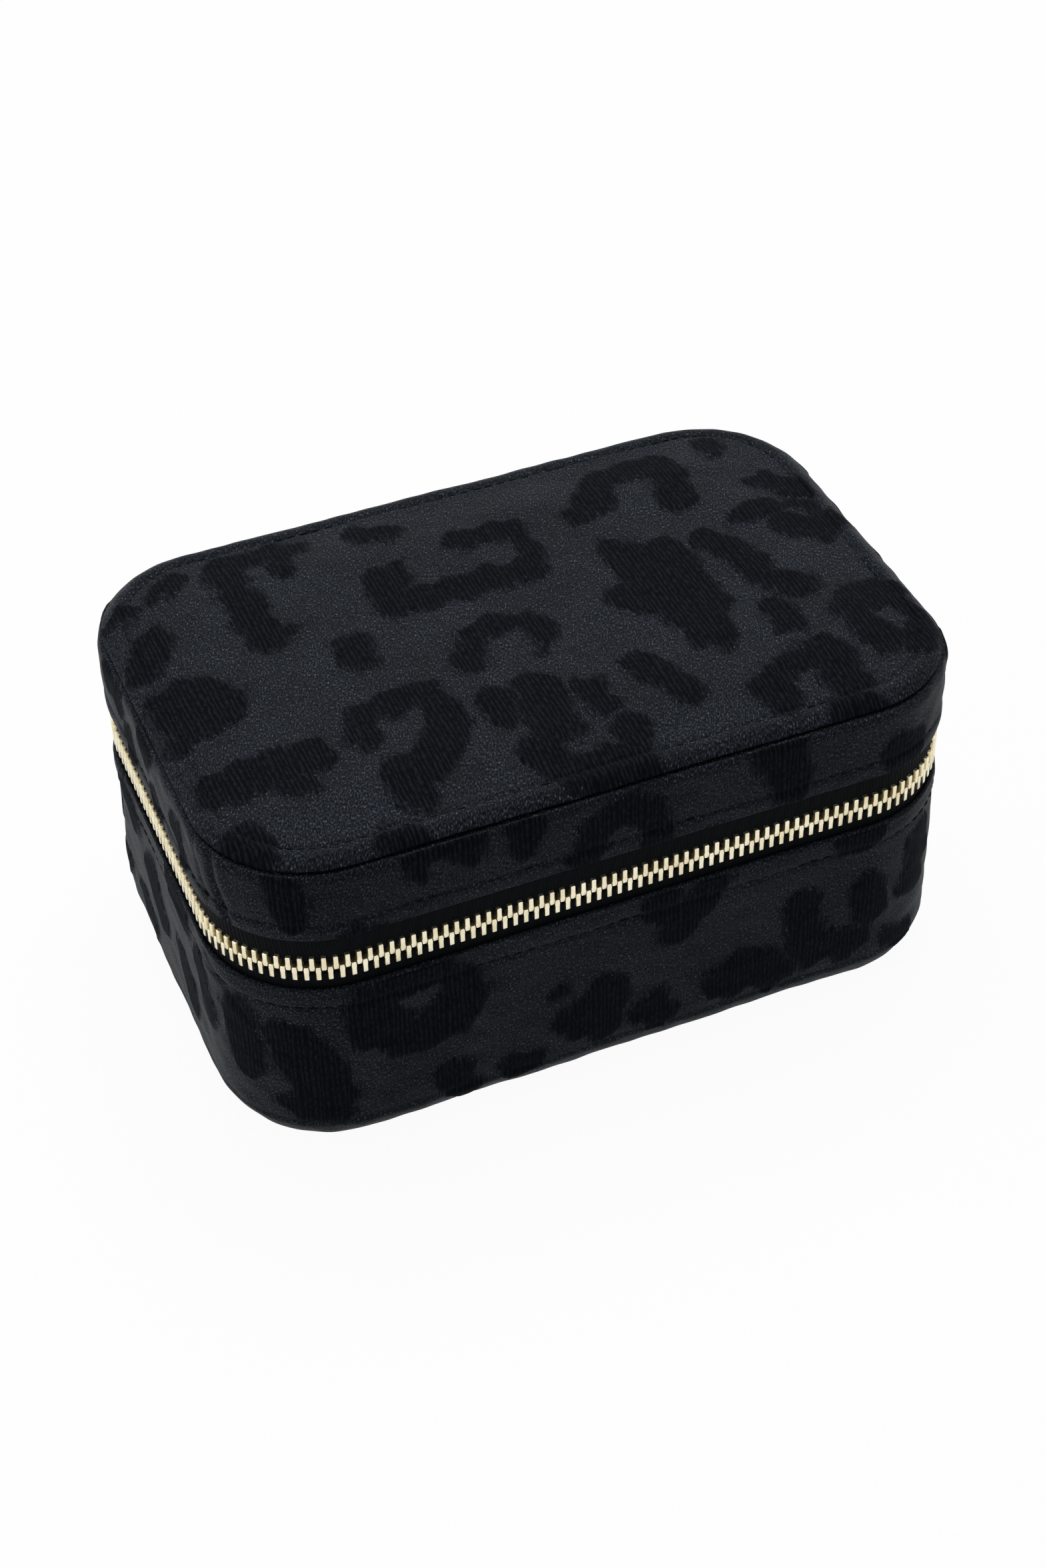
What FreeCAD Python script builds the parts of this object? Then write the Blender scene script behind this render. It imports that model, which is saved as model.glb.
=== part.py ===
"""Zip-around jewellery case: a fabric-covered lid and base on moulded shells, joined by a cloth spine.

Frame: +X to the right along the front, +Y to the back, +Z up, origin at the centre of the underside.
The lid opens about a line on the spine at the back. The metal zip runs from the right-hand side, round
the front, to the rear left corner, and its slider is parked at the rear of the right-hand side.
"""

import FreeCAD, Part
import math
import os
import re
import Sketcher
from FreeCAD import Placement, Rotation, Vector

# Driving dimensions in millimetres, with what each one measures.
SIZES = (
    ("case_width", 170.0, "outer width over the side covers"),
    ("case_depth", 113.0, "outer depth over the side covers"),
    ("base_height", 55.0, "floor to the zip line"),
    ("lid_height", 28.3, "zip line to the top of the lid"),
    ("corner_radius", 26.5, "upright corners, seen from above"),
    ("bottom_edge_radius", 9.3, "soft lower edge of the base"),
    ("foot_drop", 0.4, "the bottom panel stands this far below the side cover"),
    ("bottom_panel_round", 0.8, "edge of the bottom panel"),
    ("lid_round", 5.5, "soft upper edge of the lid"),
    ("seam_drop", 2.0, "seam round the top panel, below the lid's top"),
    ("foam_thickness", 1.0, "foam under the top panel"),
    ("cover_thickness", 1.8, "fabric with its thin foam backing"),
    ("glue_line", 0.1, "gap between layers"),
    ("shell_thickness", 1.6, "moulded shells"),
    ("lining_thickness", 1.4, "flocked lining trays"),
    ("lid_lining_radius", 3.0, "upper edge of the lid lining"),
    ("floor_pad_thickness", 2.5, "padded floor of the base"),
    ("lid_panel_thickness", 2.4, "padded panel inside the lid"),
    ("lid_zip_edge", 8.2, "zip line to the folded edge of the lid's fabric"),
    ("base_zip_edge", 5.7, "zip line to the folded edge of the base's fabric"),
    ("shell_setback", 0.5, "shell rims behind the fabric edge"),
    ("tape_thickness", 0.6, "zip tape and hinge cloth"),
    ("tape_tuck", 8.0, "tape hidden under the fabric"),
    ("tape_gap", 1.6, "zip line to the beaded edge of a tape"),
    ("hinge_margin", 4.0, "cloth spine from the start of the rear corners"),
    ("hinge_end_gap", 1.0, "spine to the end of each tape"),
    ("hinge_lining_reach", 12.0, "inner hinge strip above and below the zip line"),
    ("tooth_pitch", 2.355, "spacing of the teeth in one row"),
    ("tooth_gap", 0.13, "between a tooth and its neighbours of the other row"),
    ("tooth_thickness", 2.3, "one tooth through the tape"),
    ("tooth_reach", 0.4, "heads past the zip line"),
    ("chain_width", 6.1, "both rows of teeth"),
    ("tooth_slot_play", 0.05, "tooth legs to the tape"),
    ("tooth_lead", 0.9, "first tooth from the tip of the slider's wedge"),
    ("chain_wrap_angle", 60.0, "degrees of the rear left corner that have teeth"),
    ("stop_length", 2.0, "end stops along the zip"),
    ("stop_height", 2.2, "end stops across the tape"),
    ("slider_length", 11.5, "slider along the zip"),
    ("slider_corner", 1.6, "cut corners of the slider's plates"),
    ("slider_plate", 1.0, "each plate of the slider"),
    ("slider_play", 0.15, "plates to the teeth"),
    ("slider_lip", 1.0, "guide lips along the plates"),
    ("slider_lip_play", 0.65, "lips to the teeth"),
    ("slider_slot", 1.4, "slot between the lips for the tape"),
    ("neck_length", 2.6, "wedge that joins the plates"),
    ("neck_play", 0.4, "wedge to the edges of the tapes"),
    ("neck_inset", 0.4, "wedge from the rear end of the plates"),
    ("bail_span", 8.4, "arch that holds the pull"),
    ("bail_bar", 1.2, "thickness of the arch"),
    ("bail_width", 1.6, "width of the arch"),
    ("link_wire", 1.2, "wire of the pull's link"),
    ("link_play", 0.3, "link to the arch and to the plate"),
    ("link_drop", 6.0, "link between the centres of its ends"),
    ("tab_length", 27.0, "pull tab"),
    ("tab_width", 7.0, "pull tab at its lower end"),
    ("tab_eye_width", 5.2, "pull tab at its eye"),
    ("tab_thickness", 1.4, "pull tab"),
    ("tab_eye_radius", 1.3, "hole for the link"),
    ("tab_play", 0.5, "hole above the link's wire"),
    ("tab_eye_wall", 1.2, "metal above the hole"),
    ("tab_corner", 1.6, "rounded corners of the pull tab"),
    ("divider_thickness", 3.0, "padded dividers"),
    ("divider_drop", 0.9, "tops of the dividers below the inner hinge strip"),
    ("divider_gap", 0.4, "dividers to the lining"),
    ("ring_bay", 51.0, "clear width between the long dividers"),
    ("cross_divider_place", 9.0, "cross divider behind the middle"),
    ("roll_height", 16.0, "ring rolls"),
    ("roll_drop", 1.9, "tops of the ring rolls below the dividers"),
    ("roll_count", 6, "ring rolls"),
    ("roll_play", 0.2, "between ring rolls"),
    ("roll_end_round", 3.0, "ends of the ring rolls"),
    ("pocket_margin", 22.0, "lid pocket from the lining at each side"),
    ("pocket_mouth_gap", 16.0, "elastic to the strip that holds the hooks"),
    ("pocket_thickness", 2.6, "lid pocket"),
    ("pocket_seam", 12.0, "lid pocket from the lining at the back"),
    ("elastic_width", 4.0, "gathered mouth of the pocket"),
    ("elastic_thickness", 3.4, "gathered mouth of the pocket"),
    ("hook_count", 4, "necklace hooks"),
    ("hook_pitch", 26.0, "between necklace hooks"),
    ("hook_width", 3.2, "one hook"),
    ("hook_metal", 1.0, "strip of a hook"),
    ("hook_foot", 7.0, "foot of a hook on its strip"),
    ("hook_depth", 5.0, "hook below its strip"),
    ("hook_tip", 2.2, "upturned tip"),
    ("hook_strip_width", 10.0, "cloth strip that holds the hooks"),
    ("hook_strip_thickness", 1.0, "cloth strip that holds the hooks"),
    ("hook_strip_place", 17.0, "strip from the lining at the front"),
)

doc = FreeCAD.newDocument("jewellery_case")
pieces = []
sheet = doc.addObject("Spreadsheet::Sheet", "sizes")
for row, (alias, number, meaning) in enumerate(SIZES, start=1):
    sheet.set(f"A{row}", alias)
    sheet.set(f"B{row}", str(number))
    sheet.setAlias(f"B{row}", alias)
    sheet.set(f"C{row}", meaning)
doc.recompute()


# Expressions on the sheet's cells
def cell(text):
    """The expression with each size named in it written as a reference to the sheet."""
    return re.sub(r"[a-z_]+", r"sizes.\g<0>", text)


def value(text):
    """The number that an expression has now."""
    return float(sheet.evalExpression(cell(text)))


# Insets of each layer from the outer face of the side covers
COVER_INNER = "cover_thickness"
TAPE_OUTER = "(cover_thickness - tape_thickness)"
REBATE = "(cover_thickness - tape_thickness - glue_line)"
CHAIN_INSET = "(cover_thickness - tape_thickness / 2)"
SHELL_OUTER = "(cover_thickness + glue_line)"
LINING_OUTER = "(cover_thickness + 2 * glue_line + shell_thickness)"
LINING_INNER = "(cover_thickness + 2 * glue_line + shell_thickness + lining_thickness)"

# Heights of the layers
LID_TOP = "(base_height + lid_height)"
SEAM = "(base_height + lid_height - seam_drop)"
LID_SHELL_TOP = f"({SEAM} - 2 * glue_line - foam_thickness)"
LID_LINING_TOP = f"({LID_SHELL_TOP} - glue_line - shell_thickness)"
LID_PANEL_TOP = f"({LID_LINING_TOP} - glue_line - lining_thickness)"
LID_PANEL_FACE = f"({LID_PANEL_TOP} - lid_panel_thickness)"
FLOOR_PAD_FOOT = f"(foot_drop + {LINING_INNER} + glue_line)"
FLOOR = f"({FLOOR_PAD_FOOT} + floor_pad_thickness)"
STANDING = f"({FLOOR} + glue_line)"
DIVIDER_TOP = "(base_height - hinge_lining_reach - divider_drop)"
ROLL_FOOT = f"({DIVIDER_TOP} - roll_drop - roll_height)"
BASE_FABRIC_EDGE = "(base_height - base_zip_edge)"
LID_FABRIC_EDGE = "(base_height + lid_zip_edge)"

# Widths along the case
HINGE_HALF = "(case_width / 2 - corner_radius - hinge_margin)"
BAY_WALL = f"({LINING_INNER} + divider_gap)"
TOOTH_WIDTH = "(tooth_pitch / 2 - tooth_gap)"

# Slider and pull, outward from the zip's middle plane on the right-hand side
CHAIN_PLANE = f"(case_width / 2 - {CHAIN_INSET})"
CHANNEL_HALF = "(tooth_thickness / 2 + slider_play)"
SLIDER_FACE = f"({CHAIN_PLANE} + {CHANNEL_HALF} + slider_plate)"
SLIDER_HALF_WIDTH = "(chain_width / 2 + slider_lip_play + slider_lip)"
SLIDER_MIDDLE = "(case_depth / 2 - corner_radius - slider_length / 2)"
BAIL_AXIS = f"({SLIDER_FACE} + bail_width / 2 + link_play + link_wire + link_play)"
LINK_RADIUS = "(bail_width / 2 + link_play + link_wire / 2)"
EYE_HEIGHT = f"(base_height - link_drop - {LINK_RADIUS})"


# Sketches
def origin_feature(body, role):
    """One of a body's own origin planes or axes, by its role."""
    return next(f for f in body.Origin.OriginFeatures if f.Role == role)


def new_body(name):
    """An empty body whose label names its file."""
    body = doc.addObject("PartDesign::Body", name)
    body.Label = name
    return body


def new_sketch(body, name, role, offset):
    """A sketch on one of the body's planes, moved along the plane's normal."""
    sketch = body.newObject("Sketcher::SketchObject", name)
    sketch.AttachmentSupport = (origin_feature(body, role), [""])
    sketch.MapMode = "FlatFace"
    sketch.setExpression("AttachmentOffset.Base.z", cell(offset))
    return sketch


def bind(sketch, constraint, name, text):
    """Adds a dimension to a sketch and ties it to the sheet."""
    index = sketch.addConstraint(constraint)
    sketch.renameConstraint(index, name)
    sketch.setExpression(f"Constraints.{name}", cell(text))


def rounded_rectangle(sketch, inset, tag):
    """The case's outline from above, drawn in by an inset, centred on the origin."""
    width, depth = f"case_width - 2 * {inset}", f"case_depth - 2 * {inset}"
    radius = f"corner_radius - {inset}"
    x, y, r = value(width) / 2, value(depth) / 2, value(radius)
    first = sketch.GeometryCount
    runs = (
        ((-x + r, -y), (x - r, -y), (x - r, -y + r), -90),
        ((x, -y + r), (x, y - r), (x - r, y - r), 0),
        ((x - r, y), (-x + r, y), (-x + r, y - r), 90),
        ((-x, y - r), (-x, -y + r), (-x + r, -y + r), 180),
    )
    for start, end, centre, angle in runs:
        sketch.addGeometry(Part.LineSegment(Vector(*start, 0), Vector(*end, 0)))
        corner = Part.Circle(Vector(*centre, 0), Vector(0, 0, 1), r)
        turn = (math.radians(angle), math.radians(angle + 90))
        sketch.addGeometry(Part.ArcOfCircle(corner, *turn))
    lines, arcs = [first + k for k in (0, 2, 4, 6)], [first + k for k in (1, 3, 5, 7)]
    for k in range(4):
        sketch.addConstraint(Sketcher.Constraint("Tangent", lines[k], 2, arcs[k], 1))
        following = lines[(k + 1) % 4]
        sketch.addConstraint(Sketcher.Constraint("Tangent", arcs[k], 2, following, 1))
        direction = "Horizontal" if k % 2 == 0 else "Vertical"
        sketch.addConstraint(Sketcher.Constraint(direction, lines[k]))
    for arc in arcs[1:]:
        sketch.addConstraint(Sketcher.Constraint("Equal", arcs[0], arc))
    sketch.addConstraint(Sketcher.Constraint("Symmetric", lines[0], 1, lines[2], 1, -1, 1))
    side_to_side = Sketcher.Constraint("DistanceX", lines[3], 1, lines[1], 1, 2 * x)
    front_to_back = Sketcher.Constraint("DistanceY", lines[0], 1, lines[2], 1, 2 * y)
    bind(sketch, side_to_side, f"{tag}_width", width)
    bind(sketch, front_to_back, f"{tag}_depth", depth)
    bind(sketch, Sketcher.Constraint("Radius", arcs[0], r), f"{tag}_radius", radius)


def polygon(sketch, corners):
    """A closed outline of straight sides, each corner given by two expressions."""
    points = [Vector(value(x), value(y), 0) for x, y in corners]
    first, count = sketch.GeometryCount, len(points)
    for k in range(count):
        sketch.addGeometry(Part.LineSegment(points[k], points[(k + 1) % count]))
    for k in range(count):
        here, following = first + k, first + (k + 1) % count
        sketch.addConstraint(Sketcher.Constraint("Coincident", here, 2, following, 1))
    for k, (x, y) in enumerate(corners):
        bind(sketch, Sketcher.Constraint("DistanceX", -1, 1, first + k, 1, points[k].x), f"x{k}", x)
        bind(sketch, Sketcher.Constraint("DistanceY", -1, 1, first + k, 1, points[k].y), f"y{k}", y)


def circle(sketch, centre, radius):
    """A circle with its centre and radius on the sheet."""
    x, y, r = value(centre[0]), value(centre[1]), value(radius)
    index = sketch.addGeometry(Part.Circle(Vector(x, y, 0), Vector(0, 0, 1), r))
    bind(sketch, Sketcher.Constraint("DistanceX", -1, 1, index, 3, x), "centre_x", centre[0])
    bind(sketch, Sketcher.Constraint("DistanceY", -1, 1, index, 3, y), "centre_y", centre[1])
    bind(sketch, Sketcher.Constraint("Radius", index, r), "hole_radius", radius)


# Features
def pad(body, sketch, length, middle=False, reverse=False):
    """Material along the sketch's normal."""
    feature = body.newObject("PartDesign::Pad", f"{sketch.Name}_pad")
    feature.Profile = sketch
    feature.Midplane = middle
    feature.Reversed = reverse
    feature.setExpression("Length", cell(length))
    doc.recompute()
    return feature


def pocket(body, sketch, length, reverse=False, middle=False):
    """A cut against the sketch's normal, or along it if reversed. It has to remove material."""
    before = body.Shape.Volume
    feature = body.newObject("PartDesign::Pocket", f"{sketch.Name}_pocket")
    feature.Profile = sketch
    feature.Midplane = middle
    feature.Reversed = reverse
    feature.setExpression("Length", cell(length))
    doc.recompute()
    if body.Shape.Volume >= before:
        raise ValueError(f"{sketch.Name} cuts nothing")
    return feature


def fillet(body, feature, chosen, radius):
    """Rounds the edges of a feature that the test picks."""
    names = [f"Edge{k}" for k, edge in enumerate(feature.Shape.Edges, start=1) if chosen(edge)]
    if not names:
        raise ValueError(f"no edge of {feature.Name} to round")
    rounded = body.newObject("PartDesign::Fillet", f"{feature.Name}_round")
    rounded.Base = (feature, names)
    rounded.setExpression("Radius", cell(radius))
    doc.recompute()
    return rounded


def at_height(text):
    """A test for edges that lie in one level plane."""
    level = value(text)
    return lambda edge: all(abs(vertex.Z - level) < 1e-4 for vertex in edge.Vertexes)


def along(axis):
    """A test for straight edges that run along an axis."""

    def chosen(edge):
        straight = isinstance(edge.Curve, Part.Line)
        return straight and abs(edge.tangentAt(edge.FirstParameter).dot(axis)) > 0.999

    return chosen


def box(name, low, size):
    """A plain block from its lowest corner and its size, all as expressions."""
    block = doc.addObject("Part::Box", name)
    block.Label = name
    for side, text in zip(("Length", "Width", "Height"), size):
        block.setExpression(side, cell(text))
    for axis, text in zip("xyz", low):
        block.setExpression(f"Placement.Base.{axis}", cell(text))
    return block


# Forms that several pieces share
def ring(name, steps):
    """A band round the case, made of stacked steps: outer inset, inner inset, foot and height."""
    body = new_body(name)
    for k, (outer, inner, foot, height) in enumerate(steps):
        sketch = new_sketch(body, f"{name}_step{k}", "XY_Plane", foot)
        rounded_rectangle(sketch, outer, "outer")
        rounded_rectangle(sketch, inner, "inner")
        pad(body, sketch, height)
    pieces.append(body)
    return body


def plate(name, inset, foot, thickness):
    """A flat panel with the case's outline, drawn in by an inset."""
    body = new_body(name)
    sketch = new_sketch(body, f"{name}_outline", "XY_Plane", foot)
    rounded_rectangle(sketch, inset, "edge")
    pad(body, sketch, thickness)
    pieces.append(body)
    return body


def tray(name, inset, floor, rim, edge_radius, thickness):
    """An open tray with rounded edges. Its rim is above its floor, or below it for a lid."""
    body = new_body(name)
    upright = value(rim) > value(floor)
    outline = new_sketch(body, f"{name}_outline", "XY_Plane", floor)
    rounded_rectangle(outline, inset, "outer")
    depth = f"{rim} - {floor}" if upright else f"{floor} - {rim}"
    block = pad(body, outline, depth, reverse=not upright)
    rounded = fillet(body, block, at_height(floor), edge_radius)
    level = value(rim)
    mouth = [
        f"Face{k}"
        for k, face in enumerate(rounded.Shape.Faces, start=1)
        if all(abs(vertex.Z - level) < 1e-4 for vertex in face.Vertexes)
    ]
    hollow = body.newObject("PartDesign::Thickness", f"{name}_hollow")
    hollow.Base = (rounded, mouth)
    hollow.Reversed = True
    hollow.setExpression("Value", cell(thickness))
    doc.recompute()
    pieces.append(body)
    return body


# The base's shell, covers and lining
def make_base():
    edge = "bottom_edge_radius"
    rim = f"({BASE_FABRIC_EDGE} - shell_setback)"
    tray("base_shell", SHELL_OUTER, f"(foot_drop + {SHELL_OUTER})", rim, f"{edge} - {SHELL_OUTER}",
         "shell_thickness")
    tray("base_lining", LINING_OUTER, f"(foot_drop + {LINING_OUTER})", BASE_FABRIC_EDGE,
         f"{edge} - {LINING_OUTER}", "lining_thickness")
    plate("base_floor_pad", f"({edge} + glue_line)", FLOOR_PAD_FOOT, "floor_pad_thickness")

    cover = tray("base_side_cover", "0", "foot_drop", BASE_FABRIC_EDGE, edge, "cover_thickness")
    opening = new_sketch(cover, "base_side_cover_opening", "XY_Plane", "0")
    rounded_rectangle(opening, f"({edge} + glue_line)", "opening")
    pocket(cover, opening, "foot_drop + 2 * cover_thickness", reverse=True)
    rebate = new_sketch(cover, "base_side_cover_rebate", "XY_Plane", BASE_FABRIC_EDGE)
    rounded_rectangle(rebate, REBATE, "outer")
    rounded_rectangle(rebate, SHELL_OUTER, "inner")
    pocket(cover, rebate, "tape_tuck + glue_line")

    bottom = plate("base_bottom_cover", f"({edge} + 3 * glue_line)", "0", "foot_drop + cover_thickness")
    fillet(bottom, bottom.Tip, at_height("0"), "bottom_panel_round")


# The lid's shell, covers and lining
def make_lid():
    rim = f"({LID_FABRIC_EDGE} + shell_setback)"
    tray("lid_shell", SHELL_OUTER, LID_SHELL_TOP, rim, f"lid_round - {SHELL_OUTER} - foam_thickness",
         "shell_thickness")
    tray("lid_lining", LINING_OUTER, LID_LINING_TOP, LID_FABRIC_EDGE, "lid_lining_radius",
         "lining_thickness")
    plate("lid_lining_panel", f"({LINING_INNER} + lid_lining_radius)", LID_PANEL_FACE, "lid_panel_thickness")
    plate("lid_foam_pad", "(lid_round + glue_line)", f"({LID_SHELL_TOP} + glue_line)", "foam_thickness")

    # The side cover and the top panel share one rounded edge, and the seam parts it.
    band = tray("lid_side_cover", "0", LID_TOP, LID_FABRIC_EDGE, "lid_round", "cover_thickness")
    above = new_sketch(band, "lid_side_cover_seam", "XY_Plane", f"({SEAM} - glue_line)")
    rounded_rectangle(above, "(0 - glue_line)", "cut")
    pocket(band, above, "seam_drop + 2 * glue_line", reverse=True)
    rebate = new_sketch(band, "lid_side_cover_rebate", "XY_Plane", LID_FABRIC_EDGE)
    rounded_rectangle(rebate, REBATE, "outer")
    rounded_rectangle(rebate, SHELL_OUTER, "inner")
    pocket(band, rebate, "tape_tuck + glue_line", reverse=True)

    panel = plate("lid_top_cover", "0", f"({LID_TOP} - 2 * lid_round)", "2 * lid_round")
    fillet(panel, panel.Tip, at_height(LID_TOP), "lid_round")
    below = new_sketch(panel, "lid_top_cover_seam", "XY_Plane", SEAM)
    rounded_rectangle(below, "(0 - glue_line)", "cut")
    pocket(panel, below, "2 * lid_round")


# Zip tapes and the cloth hinge between their ends
def make_tapes():
    back, middle = "case_depth / 2", "case_depth / 2 - corner_radius / 2"
    end = f"({HINGE_HALF} + hinge_end_gap)"
    feet = {"upper": "(base_height + tape_gap)", "lower": "(base_height - base_zip_edge - tape_tuck)"}
    for side, edge in (("upper", "lid_zip_edge"), ("lower", "base_zip_edge")):
        name, foot = f"{side}_zip_tape", feet[side]
        height = f"{edge} + tape_tuck - tape_gap"
        tape = ring(name, ((TAPE_OUTER, COVER_INNER, foot, height),))
        gap = new_sketch(tape, f"{name}_gap", "XY_Plane", foot)
        polygon(gap, [(f"0 - {end}", middle), (end, middle), (end, back), (f"0 - {end}", back)])
        pocket(tape, gap, height, reverse=True)
    spine_face = f"{back} - {COVER_INNER}"
    spine = box("hinge_spine", (f"0 - {HINGE_HALF}", spine_face, feet["lower"]),
                (f"2 * {HINGE_HALF}", "tape_thickness", "lid_zip_edge + base_zip_edge + 2 * tape_tuck"))
    strip_face = f"{back} - {LINING_INNER} - glue_line - tape_thickness"
    strip = box("hinge_lining", (f"0 - {HINGE_HALF}", strip_face, "base_height - hinge_lining_reach"),
                (f"2 * {HINGE_HALF}", "tape_thickness", "2 * hinge_lining_reach"))
    pieces.extend((spine, strip))


# The zip's path, walked from the rear right corner round the front to the rear left corner
def zip_runs():
    """Straight and round runs: length, start or centre, heading of the outward normal, and turn."""
    r = value(f"corner_radius - {CHAIN_INSET}")
    x, y = value("case_width / 2 - corner_radius"), value("case_depth / 2 - corner_radius")
    wrap = value("chain_wrap_angle")
    quarter = r * math.pi / 2
    return (
        (quarter, Vector(x, y, 0), 90, -90),
        (2 * y, Vector(x + r, y, 0), 0, 0),
        (quarter, Vector(x, -y, 0), 0, -90),
        (2 * x, Vector(x, -y - r, 0), -90, 0),
        (quarter, Vector(-x, -y, 0), -90, -90),
        (2 * y, Vector(-x - r, -y, 0), -180, 0),
        (r * math.radians(wrap), Vector(-x, y, 0), -180, -wrap),
    )


def zip_place(distance):
    """Where a piece of the zip sits at a distance along its path, its X axis pointing outward."""
    r = value(f"corner_radius - {CHAIN_INSET}")
    height = Vector(0, 0, value("base_height"))
    runs = zip_runs()
    for k, (length, start, heading, turn) in enumerate(runs):
        if distance <= length or k == len(runs) - 1:
            break
        distance -= length
    angle = heading + turn * distance / length
    outward = Vector(math.cos(math.radians(angle)), math.sin(math.radians(angle)), 0)
    forward = Vector(outward.y, -outward.x, 0)
    point = start + outward * r if turn else start + forward * distance
    return Placement(point + height, Rotation(Vector(0, 0, 1), angle))


def clamp_shape(width, thickness, low, high, slot_low):
    """A metal piece of the zip: a block whose two legs straddle the tape above slot_low."""
    block = Part.makeBox(thickness, width, high - low, Vector(-thickness / 2, -width / 2, low))
    slot = value("tape_thickness + 2 * tooth_slot_play")
    cut = Part.makeBox(slot, 2 * width, high, Vector(-slot / 2, -width, slot_low))
    return block.cut(cut)


def row_of(name, shape, distances, upper):
    """Copies of one metal piece along the zip, turned over for the lower row."""
    over = Placement() if upper else Placement(Vector(), Rotation(Vector(1, 0, 0), 180))
    copies = []
    for distance in distances:
        piece = shape.copy()
        piece.Placement = zip_place(distance) * over
        copies.append(piece)
    feature = doc.addObject("Part::Feature", name)
    feature.Label = name
    feature.Shape = Part.makeCompound(copies)
    pieces.append(feature)


def make_chain():
    pitch, stop_length = value("tooth_pitch"), value("stop_length")
    slot_low = value("tape_gap - tooth_slot_play")
    tooth = clamp_shape(value(TOOTH_WIDTH), value("tooth_thickness"), -value("tooth_reach"),
                        value("chain_width / 2"), slot_low)
    stop_foot = value("tape_gap - stop_height / 4")
    stop = clamp_shape(stop_length, value("tooth_thickness"), stop_foot,
                       stop_foot + value("stop_height"), slot_low)
    lengths = [run[0] for run in zip_runs()]
    slider_end, right_end, total = lengths[0], lengths[0] + lengths[1], sum(lengths)
    lead = value(f"neck_inset + neck_length + tooth_lead + {TOOTH_WIDTH} / 2")
    for side in ("upper", "lower"):
        upper = side == "upper"
        first = slider_end + lead + (0 if upper else pitch / 2)
        count = int((total - first) / pitch) + 1
        places = [first + k * pitch for k in range(count)]
        row_of(f"{side}_right_teeth", tooth, [s for s in places if s < right_end], upper)
        row_of(f"{side}_zip_teeth", tooth, [s for s in places if s >= right_end], upper)
        row_of(f"{side}_zip_stops", stop, [slider_end - stop_length, places[-1] + stop_length], upper)
        print(side, "row:", count, "teeth")


# Slider, link and pull tab on the right-hand side
def make_slider():
    body = new_body("slider_body")
    back, front = f"{SLIDER_MIDDLE} + slider_length / 2", f"{SLIDER_MIDDLE} - slider_length / 2"
    low, high = f"base_height - {SLIDER_HALF_WIDTH}", f"base_height + {SLIDER_HALF_WIDTH}"
    front_cut, back_cut = f"{front} + slider_corner", f"{back} - slider_corner"
    low_cut, high_cut = f"{low} + slider_corner", f"{high} - slider_corner"
    planform = [
        (front, low_cut), (front_cut, low), (back_cut, low), (back, low_cut),
        (back, high_cut), (back_cut, high), (front_cut, high), (front, high_cut),
    ]
    outer_plate = new_sketch(body, "slider_outer_plate", "YZ_Plane", f"{CHAIN_PLANE} + {CHANNEL_HALF}")
    polygon(outer_plate, planform)
    pad(body, outer_plate, "slider_plate")

    neck = new_sketch(body, "slider_neck", "YZ_Plane", CHAIN_PLANE)
    rear, tip = f"{back} - neck_inset", f"{back} - neck_inset - neck_length"
    side = "(tape_gap - neck_play)"
    polygon(neck, [(tip, "base_height"), (rear, f"base_height - {side}"), (rear, f"base_height + {side}")])
    pad(body, neck, f"2 * {CHANNEL_HALF}", middle=True)

    inner_plate = new_sketch(body, "slider_inner_plate", "YZ_Plane", f"{CHAIN_PLANE} - {CHANNEL_HALF}")
    polygon(inner_plate, planform)
    pad(body, inner_plate, "slider_plate", reverse=True)

    lip_height = f"{CHANNEL_HALF} - slider_slot / 2"
    lip_end = f"{back_cut} - neck_length"
    lip_levels = {"low": (low, f"{low} + slider_lip"), "high": (f"{high} - slider_lip", high)}
    for place, sign in (("outer", "+"), ("inner", "-")):
        for edge, (foot, top) in lip_levels.items():
            offset = f"{CHAIN_PLANE} {sign} slider_slot / 2"
            lip = new_sketch(body, f"slider_{place}_{edge}_lip", "YZ_Plane", offset)
            polygon(lip, [(front_cut, foot), (lip_end, foot), (lip_end, top), (front_cut, top)])
            pad(body, lip, lip_height, reverse=place == "inner")

    bail = new_sketch(body, "slider_bail", "XY_Plane", "base_height")
    near, far = f"{SLIDER_MIDDLE} - bail_span / 2", f"{SLIDER_MIDDLE} + bail_span / 2"
    inner, outer = f"{BAIL_AXIS} - bail_bar / 2", f"{BAIL_AXIS} + bail_bar / 2"
    polygon(bail, [
        (SLIDER_FACE, near), (inner, near), (outer, f"{near} + bail_bar"),
        (outer, f"{far} - bail_bar"), (inner, far), (SLIDER_FACE, far),
        (SLIDER_FACE, f"{far} - bail_bar"), (inner, f"{far} - 1.5 * bail_bar"),
        (inner, f"{near} + 1.5 * bail_bar"), (SLIDER_FACE, f"{near} + bail_bar"),
    ])
    pad(body, bail, "bail_width", middle=True)
    pieces.append(body)


def make_link():
    """A racetrack of wire round the slider's arch, hanging in the plane across the zip."""
    radius, drop = value(LINK_RADIUS), value("link_drop")
    centre = Vector(value(BAIL_AXIS), value(SLIDER_MIDDLE), value("base_height"))
    low = centre - Vector(0, 0, drop)
    side, up = Vector(radius, 0, 0), Vector(0, 0, radius)
    path = Part.Wire([
        Part.makeLine(low - side, centre - side),
        Part.Arc(centre - side, centre + up, centre + side).toShape(),
        Part.makeLine(centre + side, low + side),
        Part.Arc(low + side, low - up, low - side).toShape(),
    ])
    ring_section = Part.Wire(Part.makeCircle(value("link_wire / 2"), low - side, Vector(0, 0, 1)))
    link = doc.addObject("Part::Feature", "pull_link")
    link.Label = "pull_link"
    link.Shape = path.makePipeShell([ring_section], True, False)
    pieces.append(link)


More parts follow.
